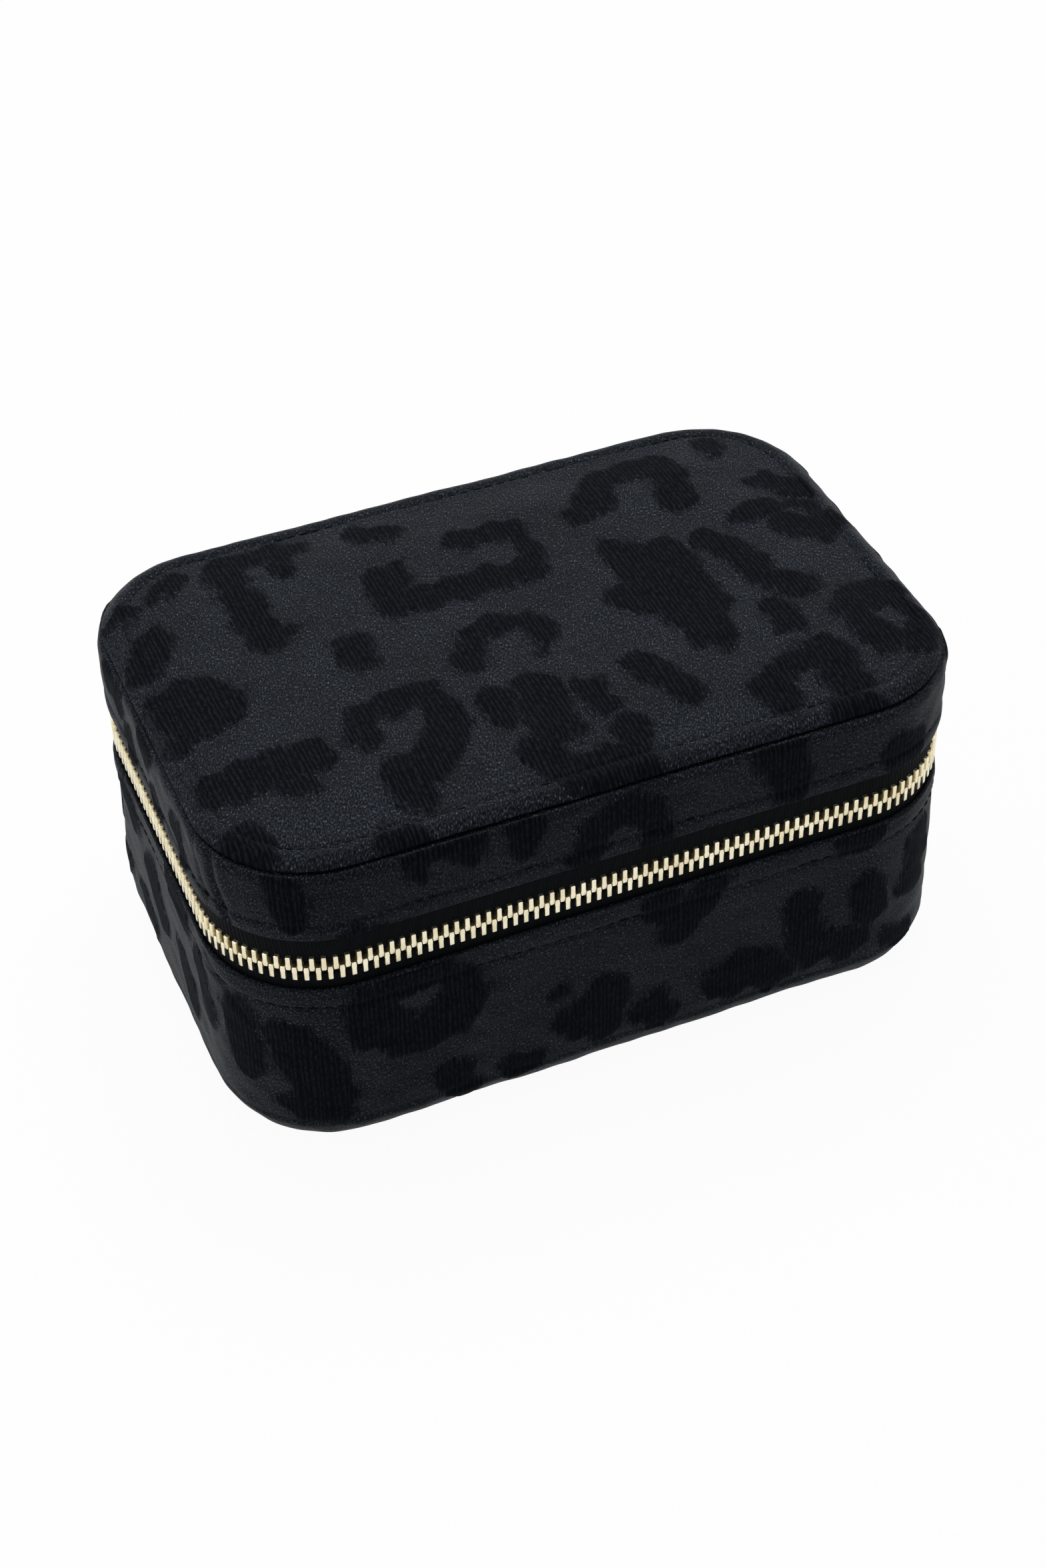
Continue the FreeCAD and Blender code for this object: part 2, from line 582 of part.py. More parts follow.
def make_tab():
    body = new_body("pull_tab")
    middle = SLIDER_MIDDLE
    eye = f"({EYE_HEIGHT} + link_wire / 2 + tab_play - tab_eye_radius)"
    top = f"({eye} + tab_eye_radius + tab_eye_wall)"
    foot = f"({top} - tab_length)"
    outline = new_sketch(body, "pull_tab_outline", "YZ_Plane", BAIL_AXIS)
    polygon(outline, [
        (f"{middle} - tab_eye_width / 2", top), (f"{middle} - tab_width / 2", foot),
        (f"{middle} + tab_width / 2", foot), (f"{middle} + tab_eye_width / 2", top),
    ])
    blank = pad(body, outline, "tab_thickness", middle=True)
    fillet(body, blank, along(Vector(1, 0, 0)), "tab_corner")
    hole = new_sketch(body, "pull_tab_eye", "YZ_Plane", BAIL_AXIS)
    circle(hole, (middle, eye), "tab_eye_radius")
    pocket(body, hole, "2 * tab_thickness", middle=True)
    pieces.append(body)


# Dividers and ring rolls in the base
def make_dividers():
    """Blocks trimmed to the inside of the lining, so that their lower corners follow its rounded edge."""
    form = new_body("bay_form")
    floor = f"foot_drop + {BAY_WALL}"
    outline = new_sketch(form, "bay_form_outline", "XY_Plane", floor)
    rounded_rectangle(outline, BAY_WALL, "edge")
    block = pad(form, outline, f"base_height - ({floor})")
    fillet(form, block, at_height(floor), f"bottom_edge_radius - {BAY_WALL}")

    height = f"{DIVIDER_TOP} - {STANDING}"
    deep = ("0 - case_depth / 2", "case_depth")
    right_bay = "(ring_bay / 2 + divider_thickness + glue_line)"
    blocks = {
        "left_divider": (("0 - ring_bay / 2 - divider_thickness", "divider_thickness"), deep, height),
        "right_divider": (("ring_bay / 2", "divider_thickness"), deep, height),
        "cross_divider": ((right_bay, f"case_width / 2 - {right_bay}"),
                          ("cross_divider_place - divider_thickness / 2", "divider_thickness"), height),
        "ring_plinth": (("glue_line - ring_bay / 2", "ring_bay - 2 * glue_line"), deep,
                        f"{ROLL_FOOT} - glue_line - {STANDING}"),
    }
    for name, ((x, wide), (y, long), tall) in blocks.items():
        trimmed = doc.addObject("Part::Common", name)
        trimmed.Label = name
        trimmed.Base = box(f"{name}_blank", (x, y, STANDING), (wide, long, tall))
        trimmed.Tool = form
        pieces.append(trimmed)


def make_ring_rolls():
    """Half-round rolls side by side on the plinth, each with a flat foot."""
    body = new_body("ring_rolls")
    pitch = f"((case_depth - 2 * {BAY_WALL}) / roll_count)"
    half = f"({pitch} / 2 - roll_play / 2)"
    middle = f"({BAY_WALL} - case_depth / 2 + {pitch} / 2)"
    shoulder = f"({ROLL_FOOT} + roll_height - {half})"
    profile = new_sketch(body, "ring_roll_profile", "YZ_Plane", "0")
    y, h = value(middle), value(half)
    low, high = value(ROLL_FOOT), value(shoulder)
    profile.addGeometry(Part.LineSegment(Vector(y - h, low, 0), Vector(y + h, low, 0)))
    profile.addGeometry(Part.LineSegment(Vector(y + h, low, 0), Vector(y + h, high, 0)))
    dome = Part.Circle(Vector(y, high, 0), Vector(0, 0, 1), h)
    profile.addGeometry(Part.ArcOfCircle(dome, 0, math.pi))
    profile.addGeometry(Part.LineSegment(Vector(y - h, high, 0), Vector(y - h, low, 0)))
    for here, following in ((0, 1), (3, 0)):
        profile.addConstraint(Sketcher.Constraint("Coincident", here, 2, following, 1))
    for here, following in ((1, 2), (2, 3)):
        profile.addConstraint(Sketcher.Constraint("Tangent", here, 2, following, 1))
    profile.addConstraint(Sketcher.Constraint("Horizontal", 0))
    profile.addConstraint(Sketcher.Constraint("Vertical", 1))
    bind(profile, Sketcher.Constraint("DistanceX", -1, 1, 2, 3, y), "dome_y", middle)
    bind(profile, Sketcher.Constraint("DistanceY", -1, 1, 2, 3, high), "dome_z", shoulder)
    bind(profile, Sketcher.Constraint("Radius", 2, h), "dome_radius", half)
    bind(profile, Sketcher.Constraint("DistanceY", -1, 1, 0, 1, low), "foot_z", ROLL_FOOT)
    roll = pad(body, profile, "ring_bay - 4 * glue_line", middle=True)
    end = value("ring_bay / 2 - 2 * glue_line")

    def end_edge(edge):
        at_end = all(abs(abs(vertex.X) - end) < 1e-4 for vertex in edge.Vertexes)
        return at_end and any(vertex.Z - low > 1e-4 for vertex in edge.Vertexes)

    rounded = fillet(body, roll, end_edge, "roll_end_round")
    repeat = body.newObject("PartDesign::LinearPattern", "ring_roll_row")
    repeat.Originals = [roll, rounded]
    repeat.Direction = (origin_feature(body, "Y_Axis"), [""])
    repeat.setExpression("Length", cell(f"{pitch} * (roll_count - 1)"))
    repeat.setExpression("Occurrences", cell("roll_count"))
    body.Tip = repeat
    pieces.append(body)


# Pocket and necklace hooks inside the lid
def make_lid_fittings():
    face = f"({LID_PANEL_FACE} - glue_line)"
    strip_front = f"({LINING_INNER} + hook_strip_place - case_depth / 2)"
    strip_half = "(hook_pitch * hook_count / 2)"
    strip = box("hook_strip", (f"0 - {strip_half}", strip_front, f"{face} - hook_strip_thickness"),
                (f"2 * {strip_half}", "hook_strip_width", "hook_strip_thickness"))

    pocket_half = f"(case_width / 2 - {LINING_INNER} - pocket_margin)"
    seam = f"(case_depth / 2 - {LINING_INNER} - pocket_seam)"
    elastic_front = f"({strip_front} + hook_strip_width + pocket_mouth_gap)"
    mouth = f"({elastic_front} + elastic_width + glue_line)"
    elastic = box("pocket_elastic", (f"0 - {pocket_half}", elastic_front, f"{face} - elastic_thickness"),
                  (f"2 * {pocket_half}", "elastic_width", "elastic_thickness"))
    pouch = box("lid_pocket", (f"0 - {pocket_half}", mouth, f"{face} - pocket_thickness"),
                (f"2 * {pocket_half}", f"{seam} - {mouth}", "pocket_thickness"))

    hooks = new_body("necklace_hooks")
    first = "(0 - hook_pitch * (hook_count - 1) / 2)"
    profile = new_sketch(hooks, "necklace_hook_profile", "YZ_Plane", first)
    top = f"({face} - hook_strip_thickness - glue_line)"
    back = f"({strip_front} + hook_strip_width / 2 + hook_foot / 2)"
    front, low = f"({back} - hook_foot)", f"({top} - hook_depth)"
    stem = f"({front} + hook_metal)"
    tip = f"({stem} + hook_tip)"
    tip_back = f"({tip} + hook_metal)"
    polygon(profile, [
        (back, top), (front, top), (front, low), (tip_back, low), (tip_back, f"{low} + hook_tip"),
        (tip, f"{low} + hook_tip"), (tip, f"{low} + hook_metal"), (stem, f"{low} + hook_metal"),
        (stem, f"{top} - hook_metal"), (back, f"{top} - hook_metal"),
    ])
    hook = pad(hooks, profile, "hook_width", middle=True)
    repeat = hooks.newObject("PartDesign::LinearPattern", "necklace_hook_row")
    repeat.Originals = [hook]
    repeat.Direction = (origin_feature(hooks, "X_Axis"), [""])
    repeat.setExpression("Length", cell("hook_pitch * (hook_count - 1)"))
    repeat.setExpression("Occurrences", cell("hook_count"))
    hooks.Tip = repeat
    pieces.extend((strip, elastic, pouch, hooks))


def write_parts():
    """Checks every object, then writes each sub-part's solids to its own file."""
    doc.recompute()
    faults = [o.Name for o in doc.Objects if "Invalid" in o.State or "Error" in o.State]
    if faults:
        raise ValueError(f"these objects failed: {faults}")
    for piece in pieces:
        if piece.Shape.isNull() or not piece.Shape.isValid() or not piece.Shape.Solids:
            raise ValueError(f"{piece.Label} has no valid solid")
    os.makedirs("parts", exist_ok=True)
    for piece in pieces:
        piece.Shape.exportStep(f"parts/{piece.Label}.step")
    print(len(pieces), "sub-parts written")


make_base()
make_lid()
make_tapes()
make_chain()
make_slider()
make_link()
make_tab()
make_dividers()
make_ring_rolls()
make_lid_fittings()
write_parts()
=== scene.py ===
# %% [markdown]
# # A zip-around jewellery case, dressed in Blender
# The case exists as exact solids: a hinged lid and a base, joined at the back by a cloth spine and
# closed by a metal zip. This lesson loads those solids as a fixed frame and makes what a solid can't
# show: a satin cloth with leopard spots in raised pile, stitching, woven tape, metal teeth, and a padded
# inside. Everything is modelled in millimetres and turned into metres at the last moment.

# %% Load the frame
import math

import bpy
import numpy as np
from mathutils import Matrix, Vector
from mathutils.geometry import delaunay_2d_cdt


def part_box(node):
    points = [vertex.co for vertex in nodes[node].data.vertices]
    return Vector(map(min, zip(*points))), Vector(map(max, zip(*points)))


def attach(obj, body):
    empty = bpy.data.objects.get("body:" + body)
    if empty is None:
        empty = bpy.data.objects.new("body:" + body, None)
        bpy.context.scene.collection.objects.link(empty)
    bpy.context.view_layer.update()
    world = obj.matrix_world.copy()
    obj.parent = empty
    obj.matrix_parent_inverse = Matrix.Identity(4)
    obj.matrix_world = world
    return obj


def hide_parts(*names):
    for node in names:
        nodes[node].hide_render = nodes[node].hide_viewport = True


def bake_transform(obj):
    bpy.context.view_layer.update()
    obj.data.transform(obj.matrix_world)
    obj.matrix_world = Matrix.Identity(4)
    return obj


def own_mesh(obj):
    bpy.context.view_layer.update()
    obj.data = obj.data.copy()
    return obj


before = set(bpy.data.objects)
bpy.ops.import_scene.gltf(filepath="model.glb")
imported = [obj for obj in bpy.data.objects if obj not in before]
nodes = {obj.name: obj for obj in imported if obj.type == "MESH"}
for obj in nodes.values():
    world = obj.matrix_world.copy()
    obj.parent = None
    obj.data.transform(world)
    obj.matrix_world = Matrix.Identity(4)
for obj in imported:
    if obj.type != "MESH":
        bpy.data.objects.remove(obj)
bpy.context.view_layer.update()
MM = 0.001
print("solids in the frame:", len(nodes))

# %% [markdown]
# ## The camera
# The photograph looks down on the front left corner. A camera can be aimed by eye, but a solve from the
# case's corners gives its place and turn exactly. The three axes of the camera go straight into its
# matrix, which avoids any doubt about the order of rotations.

# %% Place the camera
AZIMUTH, ELEVATION, ROLL = math.radians(-21.818), math.radians(41.517), math.radians(-1.3765)
CAMERA_PLACE = (-0.1712, -0.4299, 0.4467)
LENS, SENSOR, SHIFT, NEAREST = 62.46, 36.0, (-0.00198, -0.00064), 0.01
back = Vector((math.sin(AZIMUTH) * math.cos(ELEVATION), -math.cos(AZIMUTH) * math.cos(ELEVATION),
               math.sin(ELEVATION)))
right = (-back).cross(Vector((0, 0, 1))).normalized()
up = right.cross(-back)
across = math.cos(ROLL) * right + math.sin(ROLL) * up
upward = -math.sin(ROLL) * right + math.cos(ROLL) * up

camera = bpy.data.objects.new("camera", bpy.data.cameras.new("camera"))
camera.data.lens, camera.data.sensor_width = LENS, SENSOR
camera.data.shift_x, camera.data.shift_y = SHIFT
camera.data.clip_start = NEAREST
camera.matrix_world = Matrix((across, upward, back)).transposed().to_4x4()
camera.matrix_world.translation = CAMERA_PLACE
bpy.context.collection.objects.link(camera)
bpy.context.scene.camera = camera
print("camera stands", round(Vector(CAMERA_PLACE).length, 3), "m from the case's foot")

# %% [markdown]
# ## The outline that every layer follows
# Seen from above, the case is a rectangle with round corners, and each cloth band runs round it. So a
# place on a band is best given by two numbers: how far along the outline it is, and how high. One
# function turns the first number into a point and the direction that the case faces there. The right
# half is worked out from running lengths, and the left half mirrors it.

# %% Walk round the case
HALF_X, HALF_Y, CORNER = 85.0, 56.5, 26.5
RUN_X, RUN_Y, ARC = HALF_X - CORNER, HALF_Y - CORNER, CORNER * math.pi / 2
LAP = 4 * (RUN_X + RUN_Y + ARC)


def outline(u):
    """Points and outward directions at distances u along the edge, from the middle of the front."""
    u = np.mod(np.asarray(u, float), LAP)
    mirrored = u > LAP / 2
    u = np.where(mirrored, LAP - u, u)
    rear = LAP / 2 - RUN_X
    turn = np.clip((u - RUN_X) / CORNER, 0, math.pi / 2)
    turn = turn + np.clip((u - rear + ARC) / CORNER, 0, math.pi / 2)
    x = np.minimum(u, RUN_X) - np.clip(u - rear, 0, RUN_X) + CORNER * np.sin(turn)
    y = np.clip(u - RUN_X - ARC, 0, 2 * RUN_Y) - RUN_Y - CORNER * np.cos(turn)
    side = np.where(mirrored, -1.0, 1.0)
    return np.stack((side * x, y), -1), np.stack((side * np.sin(turn), -np.cos(turn)), -1)


print("once round the case:", round(LAP, 1), "mm")

# %% [markdown]
# ## Small makers
# A few helpers do most of the modelling. `piece` turns points and faces into a named object that rides
# on a body. `sweep` carries a cross-section round the outline, which is how a sewn band is shaped.
# `fill` meshes a flat outline with even triangles, because a grid would crowd at round corners. The
# others close an edge, a thin sheet or a tube.

# %% Make a piece
FINISH = {}


def piece(name, points, faces, finish=None, body=None, replaces=()):
    """A smooth mesh object from points in millimetres."""
    mesh = bpy.data.meshes.new(name)
    mesh.from_pydata((np.asarray(points, float) * MM).tolist(), [], faces)
    mesh.polygons.foreach_set("use_smooth", np.ones(len(mesh.polygons), bool))
    made = bpy.data.objects.new(name, mesh)
    bpy.context.collection.objects.link(made)
    if finish:
        FINISH[name] = finish
    if body:
        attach(made, body)
    if replaces:
        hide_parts(*replaces)
    print(f"{name}: {len(mesh.vertices)} points, {len(mesh.polygons)} faces")
    return made


# %% Carry a cross-section round the case
def sweep(section, columns, lift=0.0, closed=True):
    """Points (row by row) and faces of a closed cross-section of (inset, height) pairs, listed downwards
    on its outer side. The lift, in millimetres, pushes the skin out along its own normal."""
    tangent = np.roll(section, -1, 0) - np.roll(section, 1, 0)
    tangent /= np.linalg.norm(tangent, axis=1)[:, None]
    lift = np.broadcast_to(lift, (len(section), len(columns)))
    outward = -section[:, :1] - tangent[:, 1:] * lift
    height = section[:, 1:] - tangent[:, :1] * lift
    place, facing = outline(columns)
    flat = place[None] + facing[None] * outward[..., None]
    points = np.concatenate((flat, height[..., None]), -1).reshape(-1, 3)
    rows, count = len(section), len(columns)
    i, j = np.meshgrid(np.arange(rows), np.arange(count if closed else count - 1), indexing="ij")
    below, beside = (i + 1) % rows, (j + 1) % count
    quads = (i * count + j, below * count + j, below * count + beside, i * count + beside)
    faces = np.stack(quads, -1).reshape(-1, 4).tolist()
    if not closed:
        faces.append([k * count for k in range(rows)][::-1])
        faces.append([k * count + count - 1 for k in range(rows)])
    return points, faces


def even_path(corners, step):
    """Points at an even step along a line of corners, which are all kept."""
    made = [np.array(corners[:1], float)]
    for a, b in zip(corners[:-1], corners[1:]):
        a, b = np.array(a, float), np.array(b, float)
        count = max(1, round(float(np.linalg.norm(b - a)) / step))
        made.append(a + (b - a) * np.linspace(0, 1, count + 1)[1:, None])
    return np.concatenate(made)


def round_path(centre, radius, start, end, step):
    """Points on an arc of (inset, height), its angles in degrees above the outward level."""
    count = max(2, round(radius * math.radians(abs(end - start)) / step))
    angle = np.radians(np.linspace(start, end, count + 1))
    return np.stack((centre[0] - radius * np.cos(angle), centre[1] + radius * np.sin(angle)), -1)


# %% Fill a flat outline with triangles
def inside(x, y):
    """How far points lie inside the case's outline, in millimetres."""
    dx, dy = np.abs(x) - RUN_X, np.abs(y) - RUN_Y
    return CORNER - np.hypot(np.maximum(dx, 0), np.maximum(dy, 0)) - np.minimum(np.maximum(dx, dy), 0)


ROW_STEP, LOOP_CLEARANCE = 0.87, 0.6


def fill(insets, step, columns):
    """Flat points and triangles: loops at the given insets, then an even lattice inside the last one."""
    place, facing = outline(columns)
    loops = np.concatenate([place - facing * inset for inset in insets])
    x, y = np.meshgrid(np.arange(-HALF_X, HALF_X, step), np.arange(-HALF_Y, HALF_Y, step * ROW_STEP))
    x = x + np.where(np.arange(len(y)) % 2, 0.5 * step, 0)[:, None]
    lattice = np.stack((x.ravel(), y.ravel()), -1)
    lattice = lattice[inside(lattice[:, 0], lattice[:, 1]) > insets[-1] + LOOP_CLEARANCE * step]
    flat = np.concatenate((loops, lattice))
    made = delaunay_2d_cdt([Vector(p) for p in flat], [], [], 0, 1e-6, False)
    return np.array([tuple(p) for p in made[0]]), [list(f) for f in made[2]]


print("half of the case's depth lies", round(float(inside(0, 0)), 1), "mm inside the outline")


# %% Close an edge, a thin sheet or a tube
def turned_over(faces):
    """The same faces, looking the other way."""
    return [face[::-1] for face in faces]


def close_under(points, faces, flat, depth, limit, rings):
    """Finds the points at the edge, joins the rings made from them below it, and closes the last ring."""
    edge = [int(k) for k in np.flatnonzero(depth < limit)]
    edge.sort(key=lambda k: math.atan2(flat[k, 1], flat[k, 0]))
    loops = [edge]
    for ring in rings(flat[edge]):
        loops.append([len(points) + k for k in range(len(edge))])
        points = np.concatenate((points, ring))
    for upper, lower in zip(loops[:-1], loops[1:]):
        for k in range(len(edge)):
            following = (k + 1) % len(edge)
            faces.append([upper[following], upper[k], lower[k], lower[following]])
    faces.append(loops[-1][::-1])
    return points, faces


def thin_sheet(rows, count):
    """Faces of a grid of points, of the same grid again behind it, and of the rim between."""
    size, faces = rows * count, []
    for i in range(rows - 1):
        for j in range(count - 1):
            a = i * count + j
            faces.append([a, a + count, a + count + 1, a + 1])
            faces.append([a + size, a + size + 1, a + size + count + 1, a + size + count])
    rim = [*range(count), *((r + 1) * count - 1 for r in range(1, rows)),
           *range(size - 2, size - count - 1, -1), *(r * count for r in range(rows - 2, 0, -1))]
    return faces + [[a, b, b + size, a + size] for a, b in zip(rim, rim[1:] + rim[:1])]


def tube(rings, sides, start=0):
    """Faces of a closed tube of rings of points, the first of them numbered start."""
    faces = []
    for first in range(start, start + (rings - 1) * sides, sides):
        for k in range(sides):
            a, b = first + k, first + (k + 1) % sides
            faces.append([a, b, b + sides, a + sides])
    last = start + (rings - 1) * sides
    return faces + [[start + k for k in range(sides)][::-1], [last + k for k in range(sides)]]


print("a tube of 2 rings of 6 has", len(tube(2, 6)), "faces")

# %% [markdown]
# ## Leopard spots
# The pattern is a common one: open rosettes, bars and dots, woven as raised pile on a smooth ground. An
# image could hold it, but then it would blur close up. Here every spot is a few brush strokes with a
# radius. The depth inside the nearest stroke is kept on each point of the mesh, so the same
# number raises the pile in the shape and draws its edge in the finish.

# %% Strokes on the top panel, in millimetres to the right and to the back
TOP_SPOTS = [
    (3.0, [(-70, 40), (-64, 44)]), (2.8, [(-81, 35), (-77, 38)]), (4.6, [(-79, 17), (-74, 25)]),
    (4.7, [(-53, 44), (-53, 30), (-52, 15)]), (3.6, [(-52, 44.5), (-36, 44.5)]),
    (3.2, [(-40, 42), (-41, 37)]), (2.4, [(-50, 15), (-46, 16)]), (3.6, [(-21, 43), (-15, 41)]),
    (4.2, [(-23, 15), (-22, 25)]), (2.6, [(-18, 22), (-17.5, 28)]), (4.5, [(-23, 15), (-8, 15), (9, 15)]),
    (3.0, [(11, 17), (12, 26), (11, 31)]), (3.7, [(-2, 31), (9, 31)]), (3.4, [(26.5, 29), (34, 31)]),
    (4.3, [(31, 33), (38, 40), (50, 41)]), (4.6, [(51, 40), (51.5, 32), (50, 25)]),
    (3.7, [(66, 44), (66, 41)]), (4.2, [(72, 25), (77, 20)]), (3.3, [(60, 14), (68, 15)]),
    (4.8, [(69, 7), (74, 4), (78, 6)]), (2.2, [(73, 15), (77, 12)]), (3.4, [(28.5, 16), (29.5, 8)]),
    (6.0, [(32, 8), (38, 8)]), (4.8, [(24, -3), (27, -6)]), (6.0, [(31, 2), (34, -8), (36, -22)]),
    (3.6, [(41, 3), (41, -14)]), (2.2, [(43, -4), (43, -7)]), (4.2, [(49.5, 8), (53, 3)]),
    (4.4, [(53, -2), (56, -10), (61, -15)]), (4.0, [(52, -19), (52.5, -25)]), (5.6, [(70, -23), (76, -22)]),
    (4.6, [(67, -26), (68, -35)]), (4.0, [(69, -38), (76, -40)]), (3.0, [(79, -28), (79.5, -38)]),
    (4.7, [(39.5, -42), (40, -47)]), (3.6, [(42, -39), (50, -37)]), (5.2, [(55, -36), (56, -46)]),
    (4.6, [(52, -53), (56, -55)]), (4.2, [(18, -25), (20, -31)]), (3.6, [(21, -33), (23, -38)]),
    (4.0, [(-15, -23), (-15.5, -30)]), (5.6, [(-6, -24), (-6, -36)]), (4.0, [(4, -28), (5.5, -34)]),
    (4.6, [(-12, -42), (-10, -47)]), (5.4, [(-7, -50), (5, -51)]), (4.0, [(8.5, -42), (7, -47)]),
    (4.0, [(-15, -10), (-13, -5)]), (3.2, [(-12, -2), (-6, 0), (1, -2)]), (3.6, [(2.5, -4), (3, -9)]),
    (1.6, [(2, -11), (0, -13)]), (4.7, [(-36.5, 5), (-36.5, 1)]), (8.8, [(-74, 2), (-71, -1)]),
    (3.6, [(-79, -10), (-77, -7)]), (5.6, [(-76, -26), (-66, -25.5), (-56, -25)]),
    (3.4, [(-63, -31), (-60, -33)]), (4.2, [(-41, -17), (-31, -15)]), (3.8, [(-43, -19), (-43.5, -25)]),
    (4.2, [(-27, -16), (-26, -28)]), (5.4, [(-28, -30), (-36, -37)]), (4.8, [(-41, -37), (-40, -44)]),
    (5.0, [(-76, -42), (-75, -46)]), (4.6, [(-47, -54), (-45, -57)]),
]
print("strokes on the top panel:", len(TOP_SPOTS))

# %% Strokes on the lid's side and on the base, in millimetres along the outline and up
LID_SPOTS = [
    (4.0, [(-74, 82), (-73, 74), (-72, 69)]), (3.6, [(-45, 81), (-45, 75)]), (4.0, [(-44, 80), (-34, 80)]),
    (4.0, [(-36, 79), (-34, 76)]), (4.6, [(-22, 82), (-22, 74)]), (3.9, [(-9, 65), (-6, 72), (0, 75)]),
    (4.0, [(0, 75), (6, 72), (7.5, 64)]), (6.2, [(35, 81), (36, 74)]), (4.6, [(38, 70), (38.5, 67)]),
    (5.0, [(64, 68), (68, 67)]), (2.0, [(-62, 63), (-55, 62.5)]), (3.0, [(-143, 69), (-141, 66)]),
    (3.2, [(-125, 67), (-122, 65)]), (3.4, [(-109, 73), (-105, 68)]), (4.2, [(-156, 78), (-150, 75)]),
    (3.4, [(-132, 81), (-128, 77)]), (4.4, [(90, 80), (93, 73)]), (3.6, [(104, 66), (110, 69), (112, 75)]),
    (4.2, [(126, 79), (133, 76)]), (3.4, [(143, 66), (149, 68)]), (4.6, [(162, 79), (165, 72)]),
    (3.8, [(181, 66), (188, 69)]), (4.2, [(204, 80), (212, 77)]), (4.4, [(222, 67), (226, 73), (235, 75)]),
    (3.6, [(238, 71), (239, 66)]), (4.6, [(-247, 80), (-240, 76)]), (3.8, [(-228, 66), (-222, 70)]),
    (4.4, [(-206, 79), (-204, 72)]), (4.0, [(-186, 66), (-180, 69), (-177, 76)]),
]
BASE_SPOTS = [
    (6.4, [(-57, 43), (-57, 36), (-50, 30.5)]), (6.2, [(-49, 30), (-40, 31), (-36.5, 37)]),
    (5.0, [(-52, 46), (-45, 47)]), (4.0, [(-39, 44), (-36, 40)]), (5.4, [(-87, 37), (-86, 24)]),
    (7.0, [(-73, 31), (-69, 22), (-68, 17)]), (4.0, [(-77, 35), (-73, 35)]), (4.5, [(-74, 14), (-66, 13)]),
    (2.7, [(-14.5, 28)]), (6.2, [(-10, 18), (-4, 22)]), (4.6, [(-3, 25), (-4, 14)]),
    (5.4, [(7, 15), (8, 13)]), (4.8, [(9, 46), (12, 38)]), (4.4, [(13, 36), (18, 42), (21, 47)]),
    (6.0, [(25, 16), (31, 18), (36, 14)]), (5.0, [(43, 31), (44, 22)]), (4.8, [(59, 31), (60, 24)]),
    (5.0, [(46, 17), (56, 16)]), (4.6, [(-40, 14), (-38, 9)]), (3.6, [(-26, 10), (-22, 10)]),
    (5.4, [(75, 37), (73, 26)]), (3.8, [(53, 46), (59, 47)]), (3.2, [(66, 12), (72, 10)]),
    (4.4, [(-121, 46), (-113, 44)]), (5.2, [(-139, 34), (-135, 25)]), (5.0, [(-119, 25), (-114, 18)]),
    (4.6, [(-103, 38), (-100, 28)]), (4.2, [(-151, 16), (-146, 13)]), (4.4, [(-156, 44), (-150, 41)]),
    (5.0, [(94, 16), (97, 26), (104, 29)]), (5.2, [(92, 44), (99, 42)]),
    (5.0, [(118, 40), (122, 32), (132, 31)]), (4.4, [(134, 36), (132, 43)]), (5.2, [(116, 16), (125, 13)]),
    (5.0, [(147, 22), (151, 14)]), (4.4, [(155, 40), (162, 37)]), (5.0, [(172, 22), (178, 29), (187, 30)]),
    (4.4, [(190, 25), (188, 17)]), (4.6, [(176, 44), (184, 45)]), (5.2, [(206, 38), (208, 28)]),
    (5.0, [(209, 27), (219, 24)]), (4.6, [(222, 42), (231, 44)]), (5.2, [(236, 28), (243, 20)]),
    (4.2, [(214, 12), (220, 10)]), (5.0, [(-252, 40), (-246, 34), (-237, 35)]),
    (5.4, [(-245, 15), (-236, 14)]), (4.6, [(-222, 42), (-215, 40)]), (5.0, [(-222, 24), (-214, 19)]),
    (4.8, [(-198, 32), (-196, 42)]), (5.2, [(-195, 17), (-186, 14)]), (4.6, [(-176, 38), (-170, 32)]),
    (4.6, [(-170, 14), (-164, 18)]),
]
print("strokes round the sides:", len(LID_SPOTS) + len(BASE_SPOTS))


# %% Measure the depth inside a spot
WAVES, WAVES_AT_ONCE = 7, 3.2
WOBBLE, OUTSIDE = 0.9, -9.0


def ripple(places, wavelength, seed):
    """Gentle unevenness of about -1 to 1 that joins up after one lap of the case."""
    rng = np.random.default_rng(seed)
    total = np.zeros(len(places))
    for _ in range(WAVES):
        angle, phase = rng.uniform(0, 2 * math.pi, 2)
        across_waves = round(LAP / wavelength * math.cos(angle)) * 2 * math.pi / LAP
        along_waves = 2 * math.pi / wavelength * math.sin(angle)
        total += np.sin(places[:, 0] * across_waves + places[:, 1] * along_waves + phase)
    return total / WAVES_AT_ONCE


def uneven(places, *ripples):
    """Ripples added up, each given as its height, wavelength and seed."""
    return sum(height * ripple(places, wavelength, seed) for height, wavelength, seed in ripples)


def distance_to(places, corners):
    """Millimetres from places to a line of corners, the shorter way round the case."""
    nearest = np.full(len(places), np.inf)
    for a, b in zip(corners, corners[1:] or corners):
        leg, away = np.subtract(b, a), places - np.array(a)
        away[:, 0] = np.mod(away[:, 0] + LAP / 2, LAP) - LAP / 2
        share = np.clip(away @ leg / max(leg @ leg, 1e-9), 0, 1)
        nearest = np.minimum(nearest, np.linalg.norm(away - share[:, None] * leg, axis=1))
    return nearest


def depth_in_spots(places, spots):
    """Millimetres inside the nearest stroke, or below zero outside, with an unsteady hand."""
    wobble = np.stack((ripple(places, 9.0, 3), ripple(places, 8.0, 4)), -1)
    places = places + WOBBLE * wobble
    best = np.full(len(places), OUTSIDE)
    for radius, corners in spots:
        best = np.maximum(best, radius - distance_to(places, corners))
    return best


def soft_step(value, low, high):
    """0 below low, 1 above high, and a smooth rise between."""
    t = np.clip((value - low) / (high - low), 0, 1)
    return t * t * (3 - 2 * t)


